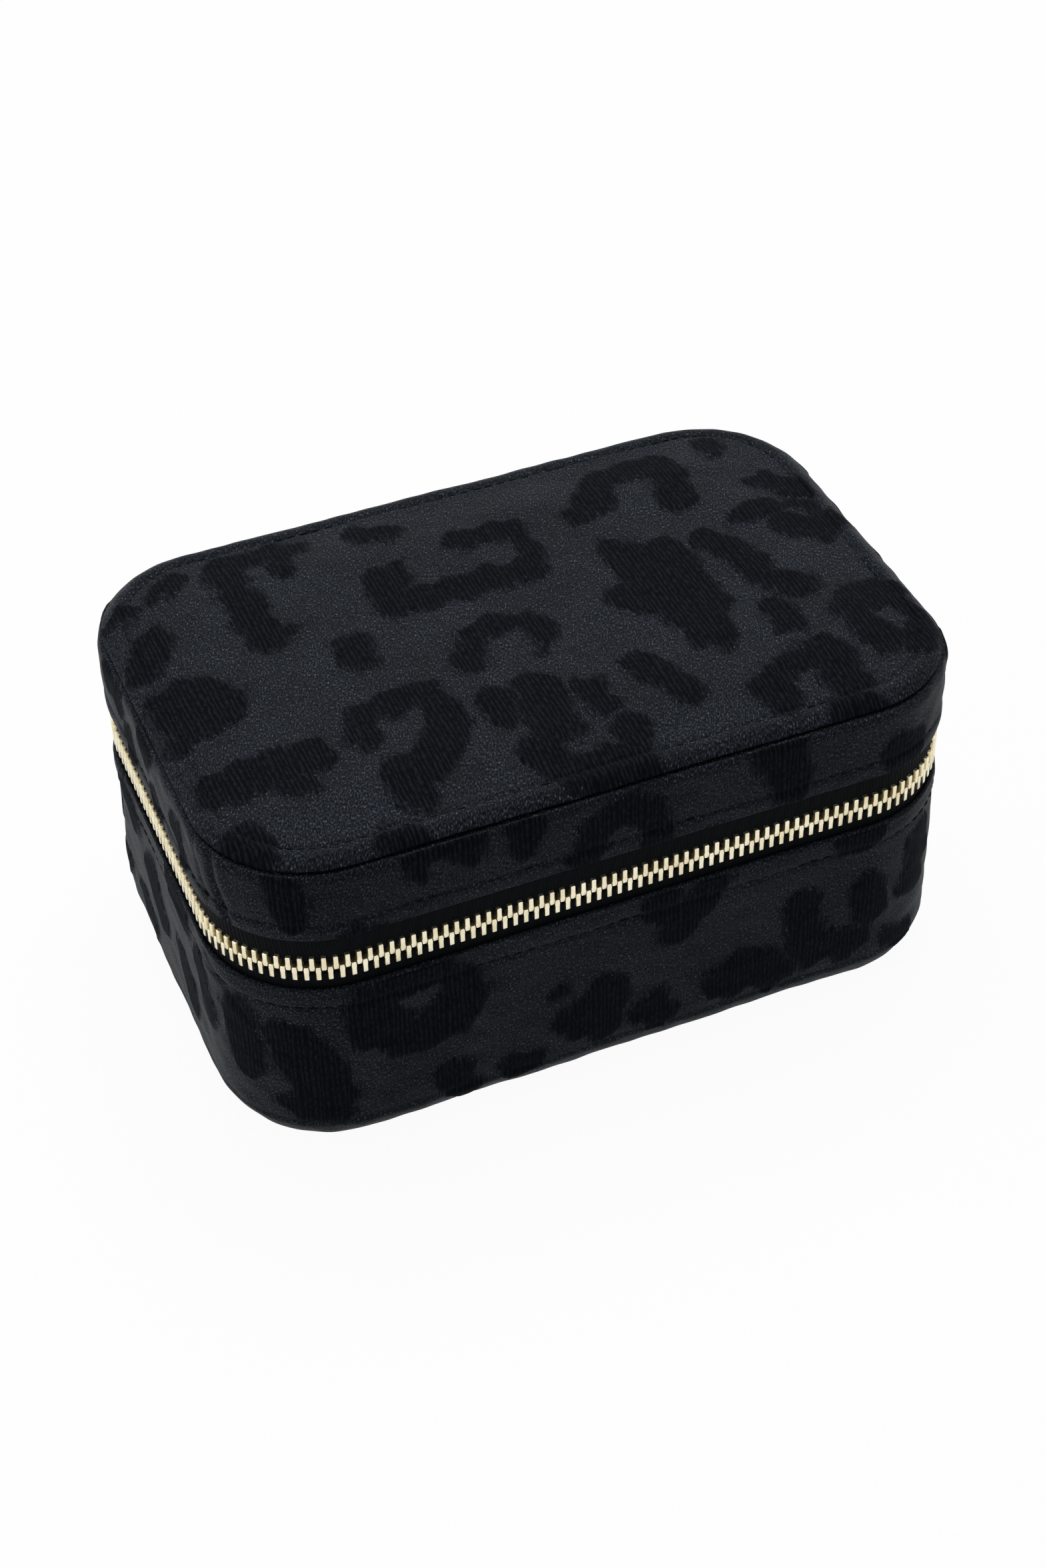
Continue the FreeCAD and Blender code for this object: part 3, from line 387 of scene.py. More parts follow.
def keep_on_mesh(made, spot, places):
    """Stores the depth in spots on points, and the place on the cloth on face corners."""
    mesh = made.data
    mesh.attributes.new("spot", "FLOAT", "POINT").data.foreach_set("value", spot.astype(np.float32))
    corner_points = np.empty(len(mesh.loops), int)
    mesh.loops.foreach_get("vertex_index", corner_points)
    cloth = places[corner_points]
    starts, totals = np.empty((2, len(mesh.polygons)), int)
    mesh.polygons.foreach_get("loop_start", starts)
    mesh.polygons.foreach_get("loop_total", totals)
    face_of_corner = np.repeat(np.arange(len(starts)), totals)
    highest = np.maximum.reduceat(cloth[:, 0], starts)[face_of_corner]
    cloth[:, 0] += np.where(highest - cloth[:, 0] > LAP / 2, LAP, 0)
    cloth = np.concatenate((cloth, np.zeros((len(cloth), 1))), 1).astype(np.float32)
    mesh.attributes.new("cloth", "FLOAT_VECTOR", "CORNER").data.foreach_set("vector", cloth.ravel())


print("the hand wobbles by up to", WOBBLE, "mm")

# %% [markdown]
# ## The top panel
# The lid's top is a thin foam with the cloth drawn over it, seamed to the side band on the round edge and
# topstitched about six millimetres in, so the edge stands up as a soft roll. A subdivided box could be
# sculpted, but heights worked out from the distance to the edge give an even roll all the way round.

# %% Shape the top panel
LID_TOP, LID_ROUND, SEAM = 83.3, 5.5, 81.3
SEAM_INSET = LID_ROUND - math.sqrt(LID_ROUND ** 2 - (LID_ROUND - LID_TOP + SEAM) ** 2)
TOPSTITCH_INSET, STITCH_DIP = 6.3, 0.42
ROLL_INSET, ROLL_RISE = 4.2, 0.22
CROWN, CROWN_INSET = 1.6, 23
PILE = 0.32
COLUMNS = np.linspace(-LAP / 2, LAP / 2, 744, endpoint=False)


def groove(value, middle, width):
    """A soft groove, 1 at its middle."""
    return np.exp(-((value - middle) / width) ** 2)


def pile_lift(spot):
    """How far the pile stands above the ground."""
    return PILE * soft_step(spot, -0.5, 0.7)


def panel_height(inset):
    """The panel's skin above an inset: the round edge, its soft roll, the stitched dip and the crown."""
    rise = np.minimum(inset, LID_ROUND)
    edge = LID_TOP - LID_ROUND + np.sqrt(np.maximum(LID_ROUND ** 2 - (LID_ROUND - rise) ** 2, 0))
    roll = ROLL_RISE * groove(inset, ROLL_INSET, 1.3)
    dip = STITCH_DIP * groove(inset, TOPSTITCH_INSET, 0.55)
    return edge + roll - dip + CROWN * soft_step(inset, TOPSTITCH_INSET - 1, CROWN_INSET)


insets = np.concatenate(([SEAM_INSET, 1.5, 1.8], np.arange(2.2, 9.4, 0.42)))
flat, faces = fill(insets, 0.8, COLUMNS)
inset = inside(flat[:, 0], flat[:, 1])
spot = depth_in_spots(flat, TOP_SPOTS)
pile = pile_lift(spot) * soft_step(inset, 1.3, 2.6)
height = panel_height(inset) + pile + uneven(flat, (0.14, 21.0, 8), (0.08, 6.0, 9))
points = np.column_stack((flat, height))
print("top panel rises to", round(float(height.max()), 2), "mm")

# %% Turn the top panel's edge under and close it
TURNED_UNDER = ((0.12, 81.26), (0.9, 81.22), (2.4, 81.24))


def turned_rings(edge):
    """Rings of points further in than the edge, each at its own level."""
    centre = np.clip(edge, (-RUN_X, -RUN_Y), (RUN_X, RUN_Y))
    facing = (edge - centre) / np.linalg.norm(edge - centre, axis=1)[:, None]
    return [np.column_stack((edge - facing * deeper, np.full(len(edge), level)))
            for deeper, level in TURNED_UNDER]


points, faces = close_under(points, faces, flat, inset, SEAM_INSET + 0.05, turned_rings)
top_panel = piece("top_panel", points, faces, "pile_cloth", "lid",
                  ("lid_top_cover", "lid_foam_pad"))
under_spot = np.concatenate((spot, np.full(len(points) - len(flat), OUTSIDE)))
keep_on_mesh(top_panel, under_spot, points[:, :2])

# %% [markdown]
# ## The side bands
# Each band is one strip of cloth on a thin foam, folded round the tape at the zip and stitched there. The
# lid's band turns in under the panel's seam, and the base's band rolls under at the floor. A band is its
# cross-section carried round the case, so the folded edge and the stitched groove are drawn once.

# %% Lines and creases on a band
FOLD = np.array([(0.07, 0.3), (0.27, 0.09), (0.52, 0.02), (0.8, 0.1), (1.0, 0.3), (1.05, 0.6)])
FOLD_HEIGHT = FOLD[-1, 1]
SEWN_DEPTH, SEWN_WIDTH, JOIN_DEPTH = 0.30, 0.5, 0.45


def sewn_line(level, line, bulge, beside, width):
    """A sewn groove, and a soft bulge beside it."""
    return bulge * groove(level, line + beside, width) - SEWN_DEPTH * groove(level, line, SEWN_WIDTH)


def back_join(along):
    """The groove where the strip's ends meet, at the middle of the back."""
    return -JOIN_DEPTH * groove(np.abs(along), LAP / 2, SEWN_WIDTH)


def creases(places, *lines):
    """Creases added up, each given as its height, width and line of corners."""
    return sum(height * groove(distance_to(places, corners), 0, width) for height, width, corners in lines)


def band(name, section, skin, level, lift_of, spots, body, node):
    """A cloth band. The skin is the rows that show, and level is its first row's height on the cloth."""
    lengths = np.linalg.norm(np.diff(section, axis=0), axis=1)
    down = level - np.concatenate(([0], np.cumsum(lengths)))
    places = np.stack(np.meshgrid(COLUMNS, down), -1).reshape(-1, 2)
    row = np.repeat(np.arange(len(section)), len(COLUMNS))
    shows = ((row >= skin[0]) & (row <= skin[1])).astype(float)
    spot = np.where(shows > 0, depth_in_spots(places, spots), OUTSIDE)
    lift = pile_lift(spot) + lift_of(places)
    points, faces = sweep(section, COLUMNS, (lift * shows).reshape(len(section), -1))
    made = piece(name, points, faces, "pile_cloth", body, (node,))
    keep_on_mesh(made, spot, places)


print("bands follow", len(COLUMNS), "columns")

# %% The lid's band
LID_EDGE, LID_STITCH, SHOULDER = 63.2, 67.0, 26
turned_in = np.array([(2.9, 80.2), (2.2, 80.4), (1.6, 80.5), (1.15, 80.45)])
shoulder = round_path((LID_ROUND, LID_TOP - LID_ROUND), LID_ROUND, SHOULDER, 0, 0.55)
face = even_path([(0.0, LID_TOP - LID_ROUND), (0.0, LID_EDGE + FOLD_HEIGHT)], 0.62)[1:]
fold = FOLD + (0, LID_EDGE)
hidden = np.array([(1.05, 67.0), (1.05, 71.2), (1.65, 71.5), (1.65, 75.0)])
hidden_shoulder = round_path((LID_ROUND, LID_TOP - LID_ROUND), 3.85, 0, 30, 0.8)
section = np.concatenate((turned_in, shoulder, face, fold, hidden, hidden_shoulder))
lid_skin = (len(turned_in), len(turned_in) + len(shoulder) + len(face) - 1)
PLEATS = (
    (-0.95, 1.1, [(-91.0, 83.0), (-90.0, 74.0), (-87.0, 64.0)]),
    (0.22, 1.3, [(-87.9, 82.0), (-87.0, 75.0), (-84.0, 64.0)]),
    (-0.35, 1.0, [(-97.0, 82.0), (-96.0, 74.0), (-93.0, 66.0)]),
    (-0.80, 1.5, [(-99.0, 82.0), (-88.0, 81.8), (-62.0, 82.4)]),
)


def lid_lift(places):
    """Stitch groove, the join at the back, the pleats at the front left corner, and soft unevenness."""
    along, level = places.T
    lines = sewn_line(level, LID_STITCH, 0.12, -2.0, 1.0) + back_join(along)
    return lines + creases(places, *PLEATS) + uneven(places, (0.16, 24.0, 11), (0.09, 7.0, 12))


TURNED_IN = 1.8
lid_level = LID_TOP - LID_ROUND + LID_ROUND * math.radians(SHOULDER) + TURNED_IN
band("lid_band", section, lid_skin, lid_level, lid_lift, LID_SPOTS, "lid", "lid_side_cover")

# %% The base's band
BASE_EDGE, BASE_STITCH, FOOT_ROUND, FOOT = 49.3, 43.8, 9.3, 0.4
BOTTOM_SEAM = 9.2
fold = (FOLD * (1, -1))[::-1] + (0, BASE_EDGE)
face = even_path([(0.0, BASE_EDGE - FOLD_HEIGHT), (0.0, FOOT + FOOT_ROUND)], 0.68)
shoulder = round_path((FOOT_ROUND, FOOT + FOOT_ROUND), FOOT_ROUND, 0, -90, 0.75)[1:]
foot_edge = np.array([(9.42, 0.7), (9.42, 1.9)])
hidden_shoulder = round_path((FOOT_ROUND, FOOT + FOOT_ROUND), 7.65, -86, 0, 1.5)
hidden = np.array([(1.65, 20.0), (1.65, 32.0), (1.65, 40.9), (1.05, 41.2), (1.05, 45.0)])
section = np.concatenate((fold, face, shoulder, foot_edge, hidden_shoulder, hidden))
base_skin = (len(fold), len(fold) + len(face) + len(shoulder) - 1)
SLACK = (-0.25, 1.1, [(-97.0, 47.0), (-90.0, 43.0), (-84.0, 37.0)])


def base_lift(places):
    """Stitch groove, bottom seam, the join at the back, a slack crease at the front left corner, and soft
    unevenness."""
    along, level = places.T
    lines = sewn_line(level, BASE_STITCH, 0.12, 2.2, 1.1) + sewn_line(level, BOTTOM_SEAM, 0.10, -1.6, 0.9)
    lines = lines + back_join(along) * soft_step(level, 6, 12)
    return lines + creases(places, SLACK) + uneven(places, (0.20, 26.0, 13), (0.09, 7.0, 14))


fold_steps = np.diff(np.concatenate((fold, face[:1])), axis=0)
base_level = BASE_EDGE - FOLD_HEIGHT + float(np.linalg.norm(fold_steps, axis=1).sum())
band("base_band", section, base_skin, base_level, base_lift, BASE_SPOTS, "base", "base_side_cover")

# %% [markdown]
# ## The bottom panel
# Nobody sees the underside in use, so it is a plain twill over a board, with a round edge that meets the
# base's band. The same filled outline as the top panel makes it, turned over.

# %% The bottom panel, face down
PANEL_INSET, PANEL_EDGE, PANEL_FACE, PANEL_BACK = 9.65, 0.9, 0.16, 2.2
loops = PANEL_INSET + PANEL_EDGE * (1 - np.cos(np.radians([0, 22, 45, 67, 90])))
loops = np.concatenate((loops, [loops[-1] + 1.2, loops[-1] + 2.6]))
flat, faces = fill(loops, 2.0, np.linspace(-LAP / 2, LAP / 2, 240, endpoint=False))
depth = inside(flat[:, 0], flat[:, 1]) - PANEL_INSET
rise = np.sqrt(np.maximum(PANEL_EDGE ** 2 - np.maximum(PANEL_EDGE - depth, 0) ** 2, 0)) - PANEL_EDGE
points = np.column_stack((flat, PANEL_FACE - rise - uneven(flat, (0.05, 18.0, 21))))
points, faces = close_under(points, faces, flat, depth, 0.02, lambda edge: [
    np.column_stack((edge, np.full(len(edge), PANEL_BACK)))])
piece("bottom_panel", points, turned_over(faces), "plain_twill", "base",
      ("base_bottom_cover",))

# %% [markdown]
# ## The zip
# A metal zip is two woven tapes, each with a beaded edge, and a row of teeth pressed onto each bead. The
# teeth of one row sit between those of the other. One tooth is modelled and repeated at its pitch, which is
# how a zip is made too, and keeps all of them alike. A real slider parts the rows as the tapes flex. Rigid
# rows can't do that, so the two rows on the slider's side flatten towards their tapes as it travels, which
# only stands for the parting.

# %% Woven tapes
SPINE_HALF, TAPE_MIDDLE, TAPE_SKIN = 55.5, 1.5, 1.24
TAPE_END = LAP / 2 - SPINE_HALF
tape_columns = np.linspace(-TAPE_END, TAPE_END, 460)


def tape(name, toothed, tucked, body, node):
    """A tape from its beaded edge to where it is tucked under the cloth."""
    away = 1 if tucked > toothed else -1
    bead = [(TAPE_MIDDLE, 0.0), (1.2, 0.12), (1.02, 0.45), (1.2, 0.8)]
    bead = [(inset, toothed + further * away) for inset, further in bead]
    outer = [(TAPE_SKIN, level) for level in np.linspace(toothed + 1.1 * away, tucked, 9)]
    inner = [(2 * TAPE_MIDDLE - inset, level) for inset, level in (bead[1:] + outer)[::-1]]
    section = np.array(bead + outer + inner)
    section = section if away < 0 else section[::-1]
    points, faces = sweep(section, tape_columns, closed=False)
    piece(name, points, faces, "woven_tape", body, (node,))


tape("upper_tape", 56.6, 71.1, "lid", "upper_zip_tape")
tape("lower_tape", 53.4, 41.4, "base", "lower_zip_tape")

# %% One tooth
ZIP_LINE, PITCH, CHAIN_INSET = 55.0, 2.355, 1.5
TOOTH_ROOT, TOOTH_MIDDLE = 3.05, 1.3


def tooth_shape():
    """Points and faces of a tooth: a bar across the tape and a head that widens, then narrows to its tip."""
    half = [(TOOTH_ROOT, 0.44), (2.92, 0.52), (1.1, 0.525), (0.62, 0.60), (0.1, 0.56), (-0.28, 0.50),
            (-0.4, 0.40)]
    sides = [(level, -width) for level, width in half] + [(level, width) for level, width in half[::-1]]
    layers = ((-1.15, 0.72), (-1.08, 0.90), (-0.85, 1.0), (0.85, 1.0), (1.08, 0.90), (1.15, 0.72))
    points = [(out, width * share, TOOTH_MIDDLE + (level - TOOTH_MIDDLE) * (1 - 0.28 * (1 - share)))
              for out, share in layers for level, width in sides]
    return np.array(points), turned_over(tube(len(layers), len(sides)))


tooth_points, tooth_faces = tooth_shape()
print("one tooth:", len(tooth_points), "points")


# %% Rows of teeth along the zip
def chain_place(distance):
    """Distance along the chain, from the back of the right-hand side, to distance on the outline."""
    arc = (CORNER - CHAIN_INSET) * math.pi / 2
    corner, side, front = (arc, ARC), (2 * RUN_Y, 2 * RUN_Y), (2 * RUN_X, 2 * RUN_X)
    legs = (side, corner, front, corner, side, corner)
    along_chain = np.cumsum([0] + [leg[0] for leg in legs])
    along_edge = RUN_X + ARC + 2 * RUN_Y - np.cumsum([0] + [leg[1] for leg in legs])
    return np.interp(distance, along_chain, along_edge)


def row_of_teeth(name, distances, upper, body, node):
    """One row, its teeth turned over for the lower tape."""
    place, facing = outline(chain_place(distances))
    points, faces = [], []
    flip = 1 if upper else -1
    for (x, y), (nx, ny) in zip(place, facing):
        out, along, high = tooth_points.T
        out, along = out - CHAIN_INSET, along * flip
        faces += [[k + len(points) * len(tooth_points) for k in f] for f in tooth_faces]
        points.append(np.stack((x + nx * out + ny * along, y + ny * out - nx * along,
                                ZIP_LINE + flip * high), -1))
    made = piece(name, np.concatenate(points), faces, "pale_gold", body, (node,))
    made.data.set_sharp_from_angle(angle=math.radians(40))
    return made


FIRST_TOOTH, TEETH = 4.424, {"upper": 144, "lower": 143}
for side, body in (("upper", "lid"), ("lower", "base")):
    upper = side == "upper"
    start = FIRST_TOOTH + (0 if upper else PITCH / 2)
    distances = start + PITCH * np.arange(TEETH[side])
    on_right = distances < 2 * RUN_Y
    parted = row_of_teeth(f"{side}_teeth_right", distances[on_right], upper, body, f"{side}_right_teeth")
    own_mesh(parted)
    row_of_teeth(f"{side}_teeth", distances[~on_right], upper, body, f"{side}_zip_teeth")
    low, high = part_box(f"{side}_zip_teeth")
    print(side, "solid teeth reach", [round(v / MM, 2) for v in (*low, *high)])

# %% [markdown]
# ## Stitches
# The seams are sewn with a dark thread. A dashed line in the finish would look flat in raking light, so each
# stitch is a small bent capsule that dips into the cloth at both ends.

# %% Sew a line of stitches
STITCH_PITCH, STITCH_LENGTH, THREAD = 3.0, 2.3, 0.24
STITCH_SINK, STITCH_TAPER, BAND_STITCH_INSET = 0.34, 0.45, 0.24


def sew(name, inset, level, facing_up, body):
    """Stitches round the whole outline. The thread lies on a face that looks up or outward."""
    count = int(LAP / STITCH_PITCH)
    shares = np.linspace(-0.5, 0.5, 6)
    angles = np.radians(np.arange(0, 360, 60))
    points, faces = [], []
    for n in range(count):
        middle = -LAP / 2 + (n + 0.5) * LAP / count
        faces += tube(len(shares), len(angles), len(points))
        for share in shares:
            sink = STITCH_SINK * (2 * share) ** 4
            radius = THREAD * (1 - STITCH_TAPER * (2 * share) ** 4)
            (x, y), (nx, ny) = (v[0] for v in outline([middle + share * STITCH_LENGTH]))
            for angle in angles:
                side, out = radius * math.cos(angle), radius * math.sin(angle) - sink
                if facing_up:
                    points.append((x - nx * (inset + side), y - ny * (inset + side), level + out))
                else:
                    points.append((x + nx * (out - inset), y + ny * (out - inset), level + side))
    piece(name, points, faces, "dark_thread", body)


stitch_level = float(panel_height(np.array([TOPSTITCH_INSET]))[0]) + 0.05
sew("topstitch", TOPSTITCH_INSET, stitch_level, True, "lid")
sew("lid_zip_stitch", BAND_STITCH_INSET, LID_STITCH, False, "lid")
sew("base_zip_stitch", BAND_STITCH_INSET, BASE_STITCH, False, "base")

# %% [markdown]
# ## The cloth spine
# At the back the lid turns on a strip of cloth, with a second strip inside that hides the gap. Both are
# sheets that bend from the base to the lid, so they have many rows across the bend and are blended between
# the two bodies.

# %% Two hinge strips
BEND_LOW, BEND_HIGH, BEND_EASE, SWAY = 49.6, 62.9, 3, 0.10


def hinge_strip(name, half, depths, low, high, finish, node):
    """A thin upright strip at the back, closed all round."""
    grid_x, grid_z = np.meshgrid(np.linspace(-half, half, 90), np.linspace(low, high, 60))
    free = soft_step(grid_z, BEND_LOW, BEND_LOW + BEND_EASE)
    free = free * soft_step(-grid_z, -BEND_HIGH, BEND_EASE - BEND_HIGH)
    places = np.stack((grid_x.ravel(), grid_z.ravel()), -1)
    sway = SWAY * free * ripple(places, 14.0, 31).reshape(grid_x.shape)
    sheets = [np.stack((grid_x, depth + sway, grid_z), -1).reshape(-1, 3) for depth in depths]
    made = piece(name, np.concatenate(sheets), thin_sheet(*grid_x.shape), finish, None, (node,))
    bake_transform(made)


hinge_strip("spine_cloth", 55.3, (55.25, 54.75), 41.4, 71.1, "plain_twill", "hinge_spine")
hinge_strip("inner_spine_strip", 54.5, (51.35, 50.85), 43.1, 66.9, "flock", "hinge_lining")

# %% [markdown]
# ## The padded inside
# The floor, the lid's panel, the dividers and the ring rolls are foam under a short flock. Foam swells a
# little under its cover, which Blender's cloth can do: a slightly smaller copy of the solid is remeshed,
# then blown up by a gentle pressure, and no point may move further than the foam could.

# %% Swell a copy of a solid
PRESSURE, SIMULATION_QUALITY, FRAMES = 4.0, 4, 20


def swell(name, node, voxel, shrink, cap, finish, body):
    """A padded piece in the space of a solid."""
    made = bpy.data.objects.new(name, nodes[node].data.copy())
    bpy.context.collection.objects.link(made)
    bpy.context.view_layer.objects.active = made
    remesh = made.modifiers.new("even", "REMESH")
    remesh.mode, remesh.voxel_size = "VOXEL", voxel * MM
    thin = made.modifiers.new("thin", "DISPLACE")
    thin.strength, thin.mid_level = -shrink * MM, 0.0
    round_off = made.modifiers.new("round", "SMOOTH")
    round_off.factor, round_off.iterations = 0.5, 4
    for modifier in ("even", "thin", "round"):
        bpy.ops.object.modifier_apply(modifier=modifier)
    before = np.empty(len(made.data.vertices) * 3, np.float32)
    made.data.vertices.foreach_get("co", before)
    cloth = made.modifiers.new("swell", "CLOTH")
    cloth.settings.use_pressure, cloth.settings.uniform_pressure_force = True, PRESSURE
    cloth.settings.effector_weights.gravity = 0.0
    cloth.settings.quality = SIMULATION_QUALITY
    for step in range(1, FRAMES + 1):
        bpy.context.scene.frame_set(step)
    bpy.ops.object.modifier_apply(modifier="swell")
    bpy.context.scene.frame_set(1)
    after = np.empty_like(before)
    made.data.vertices.foreach_get("co", after)
    move = (after - before).reshape(-1, 3)
    far = np.linalg.norm(move, axis=1)[:, None]
    move *= np.minimum(1, cap * MM / np.maximum(far, 1e-9))
    made.data.vertices.foreach_set("co", (before.reshape(-1, 3) + move).ravel())
    made.data.materials.clear()
    made.data.polygons.foreach_set("use_smooth", np.ones(len(made.data.polygons), bool))
    made.data.update()
    made.modifiers.new("finer", "SUBSURF").levels = 1
    FINISH[name] = finish
    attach(made, body)
    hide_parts(node)
    print(f"{name}: {len(made.data.vertices)} points, swelled by up to {far.max() / MM:.2f} mm")


swell("ring_cushion", "ring_rolls", 1.5, 0.7, 0.8, "velvet", "base")
swell("ring_block", "ring_plinth", 2.0, 0.6, 0.4, "velvet", "base")
for place in ("left", "right", "cross"):
    swell(f"{place}_divider_pad", f"{place}_divider", 1.0, 0.45, 0.5, "flock", "base")
swell("floor_cushion", "base_floor_pad", 1.6, 0.5, 0.5, "flock", "base")
swell("lid_cushion", "lid_lining_panel", 1.6, 0.5, 0.6, "flock", "lid")

# %% [markdown]
# ## The lid's pocket and hooks
# A gathered pocket holds flat pieces in the lid, with an elastic in its mouth. The cloth is cut wider than
# the place it fills, so it stands in small folds that die away towards the sewn edges. In front of it a
# cloth strip carries the necklace hooks.

# %% The gathered pocket
POUCH_HALF, MOUTH, POUCH_END, POUCH_BACK, POUCH_THICK = 57.8, -4.6, 39.4, 73.9, 0.4
FOLD_WIDTHS, FOLDS_AT_ONCE, FOLD_SEED = (5.3, 6.9, 9.2), 2.2, 5


def gathers(x):
    """Uneven folds across the pocket, about one every six millimetres."""
    phases = np.random.default_rng(FOLD_SEED).uniform(0, 6.3, 3)
    folds = sum(np.sin(2 * math.pi * x / width + phase) for width, phase in zip(FOLD_WIDTHS, phases))
    return folds / FOLDS_AT_ONCE


def hung_sheet(name, grid_x, grid_y, bottom, top, node):
    """A closed thin cloth in the lid, between two heights."""
    sheets = [np.stack((grid_x, grid_y, height), -1).reshape(-1, 3) for height in (bottom, top)]
    faces = thin_sheet(*grid_x.shape)
    return piece(name, np.concatenate(sheets), faces, "satin", "lid", (node,))


grid_x, grid_y = np.meshgrid(np.linspace(-POUCH_HALF, POUCH_HALF, 260), np.linspace(MOUTH, POUCH_END, 48))
from_mouth = (grid_y - MOUTH) / (POUCH_END - MOUTH)
fullness = soft_step(POUCH_HALF - np.abs(grid_x), 0, 5) * soft_step(POUCH_END - grid_y, 0, 7)
belly = fullness * np.sin(math.pi * np.clip(from_mouth * 0.8 + 0.2, 0, 1))
folds = 0.75 * gathers(grid_x + 1.4 * np.sin(grid_y / 9)) * fullness * (1 - 0.55 * from_mouth)
back = POUCH_BACK - belly - folds
pocket = hung_sheet("lid_pouch", grid_x, grid_y, back - POUCH_THICK, back, "lid_pocket")

# %% The elastic in its mouth
ELASTIC_Y, ELASTIC_Z, ELASTIC_WIDE, ELASTIC_HIGH = -6.5, 72.7, 1.9, 1.6
x = np.linspace(-POUCH_HALF, POUCH_HALF, 420)[:, None]
angle = np.radians(np.arange(0, 360, 30))[None]
ruffle = 1 + 0.16 * gathers(x) + 0.07 * np.sin(x * 5.1)
points = np.stack(np.broadcast_arrays(x, ELASTIC_Y + ELASTIC_WIDE * ruffle * np.cos(angle),
                                      ELASTIC_Z + ELASTIC_HIGH * ruffle * np.sin(angle)), -1)
piece("pocket_mouth", points.reshape(-1, 3), tube(x.size, angle.size), "satin", "lid",
      ("pocket_elastic",))

# %% The strip that holds the hooks
STRIP_HALF, STRIP_Y, STRIP_HALF_Y, STRIP_BACK, STRIP_THICK = 51.9, -29.5, 4.9, 74.35, 0.95
grid_x, grid_y = np.meshgrid(np.linspace(-STRIP_HALF, STRIP_HALF, 120),
                             np.linspace(STRIP_Y - STRIP_HALF_Y, STRIP_Y + STRIP_HALF_Y, 24))
from_rim = np.minimum(STRIP_HALF - np.abs(grid_x), STRIP_HALF_Y - np.abs(grid_y - STRIP_Y))
sewn = 0.28 * groove(from_rim, 1.2, 0.35)
back = np.full(grid_x.shape, STRIP_BACK)
strip = hung_sheet("hook_band", grid_x, grid_y, back - STRIP_THICK + sewn, back, "hook_strip")

# %% [markdown]
# ## Finishes
# Each finish is a node tree. Writing node trees by hand is slow to read, so a small class wraps a socket and
# gives it Python's operators: `1 - mask` adds a Math node. One method makes every node but the output, its
# settings first and then its sockets.


# %% Sockets as values
class Wire:
    """An output socket in a node tree that can be used in expressions."""

    def __init__(self, tree, socket=None):
        self.tree, self.socket = tree, socket

    def node(self, kind, settings, sockets, output=0):
        """Adds a node of any type: its settings, then a value or a link for each named socket."""
        made = self.tree.nodes.new(kind)
        for name, setting in settings.items():
            setattr(made, name, setting)
        for name, given in sockets.items():
            if isinstance(given, Wire):
                self.tree.links.new(given.socket, made.inputs[name])
            else:
                made.inputs[name].default_value = given
        return Wire(self.tree, made.outputs[output])

    def show(self, kind="ShaderNodeOutputMaterial"):
        """Makes this shader what the tree's output shows."""
        output = self.tree.nodes.new(kind)
        self.tree.links.new(self.socket, output.inputs["Surface"])

    def place(self):
        """Coordinates on the object, in metres."""
        return self.node("ShaderNodeTexCoord", {}, {}, "Object")

    def math(self, operation, first, second):
        return self.node("ShaderNodeMath", {"operation": operation}, {0: first, 1: second})

    def __add__(self, other):
        return self.math("ADD", self, other)

    def __sub__(self, other):
        return self.math("SUBTRACT", self, other)

    def __rsub__(self, other):
        return self.math("SUBTRACT", other, self)

    def __mul__(self, other):
        return self.math("MULTIPLY", self, other)

    __radd__, __rmul__ = __add__, __mul__

    def above(self, low, high):
        """0 below low, 1 above high, smooth between."""
        settings = {"interpolation_type": "SMOOTHSTEP"}
        return self.node("ShaderNodeMapRange", settings, {"Value": self, "From Min": low, "From Max": high})

    def mix(self, low, high):
        """A colour from low to high, by this value."""
        return self.node("ShaderNodeMix", {"data_type": "RGBA"}, {0: self, 6: low, 7: high}, 2)

    def scaled(self, factors):
        """A vector times three factors."""
        return self.node("ShaderNodeVectorMath", {"operation": "MULTIPLY"}, {0: self, 1: factors})

    def noise(self, scale, detail=2.0, roughness=0.5):
        """Cloudy values from 0 to 1 over these coordinates."""
        sockets = {"Vector": self, "Scale": scale, "Detail": detail, "Roughness": roughness}
        return self.node("ShaderNodeTexNoise", {}, sockets)

    def wave(self, scale, distortion, direction="X"):
        """Soft lines across one direction, from 0 to 1, about 0.314 / scale apart."""
        settings = {"wave_type": "BANDS", "bands_direction": direction}
        sockets = {"Vector": self, "Scale": scale, "Distortion": distortion, "Detail": 1.0,
                   "Detail Scale": 1.5}
        return self.node("ShaderNodeTexWave", settings, sockets)


# %% Start and end a finish
def colour(red, green, blue):
    """A colour as it looks on screen, from 0 to 255, as the shader's own numbers."""
    screen = [c / 255 for c in (red, green, blue)]
    return (*(((c + 0.055) / 1.055) ** 2.4 if c > 10 / 255 else c / 12.92 for c in screen), 1.0)


def new_finish(name):
    """An empty material and a wire to start from."""
    material = bpy.data.materials.new(name)
    material.use_nodes = True
    material.node_tree.nodes.clear()
    return material, Wire(material.node_tree)


def end_finish(material, start, constant, varying, bump):
    """One shader: its constants, what varies, and a bump's height, strength and depth in metres."""
    normal = start.node("ShaderNodeBump", {}, dict(zip(("Height", "Strength", "Distance"), bump)))
    start.node("ShaderNodeBsdfPrincipled", {}, {**constant, **varying, "Normal": normal}).show()
    print("finish:", material.name, len(start.tree.nodes), "nodes")
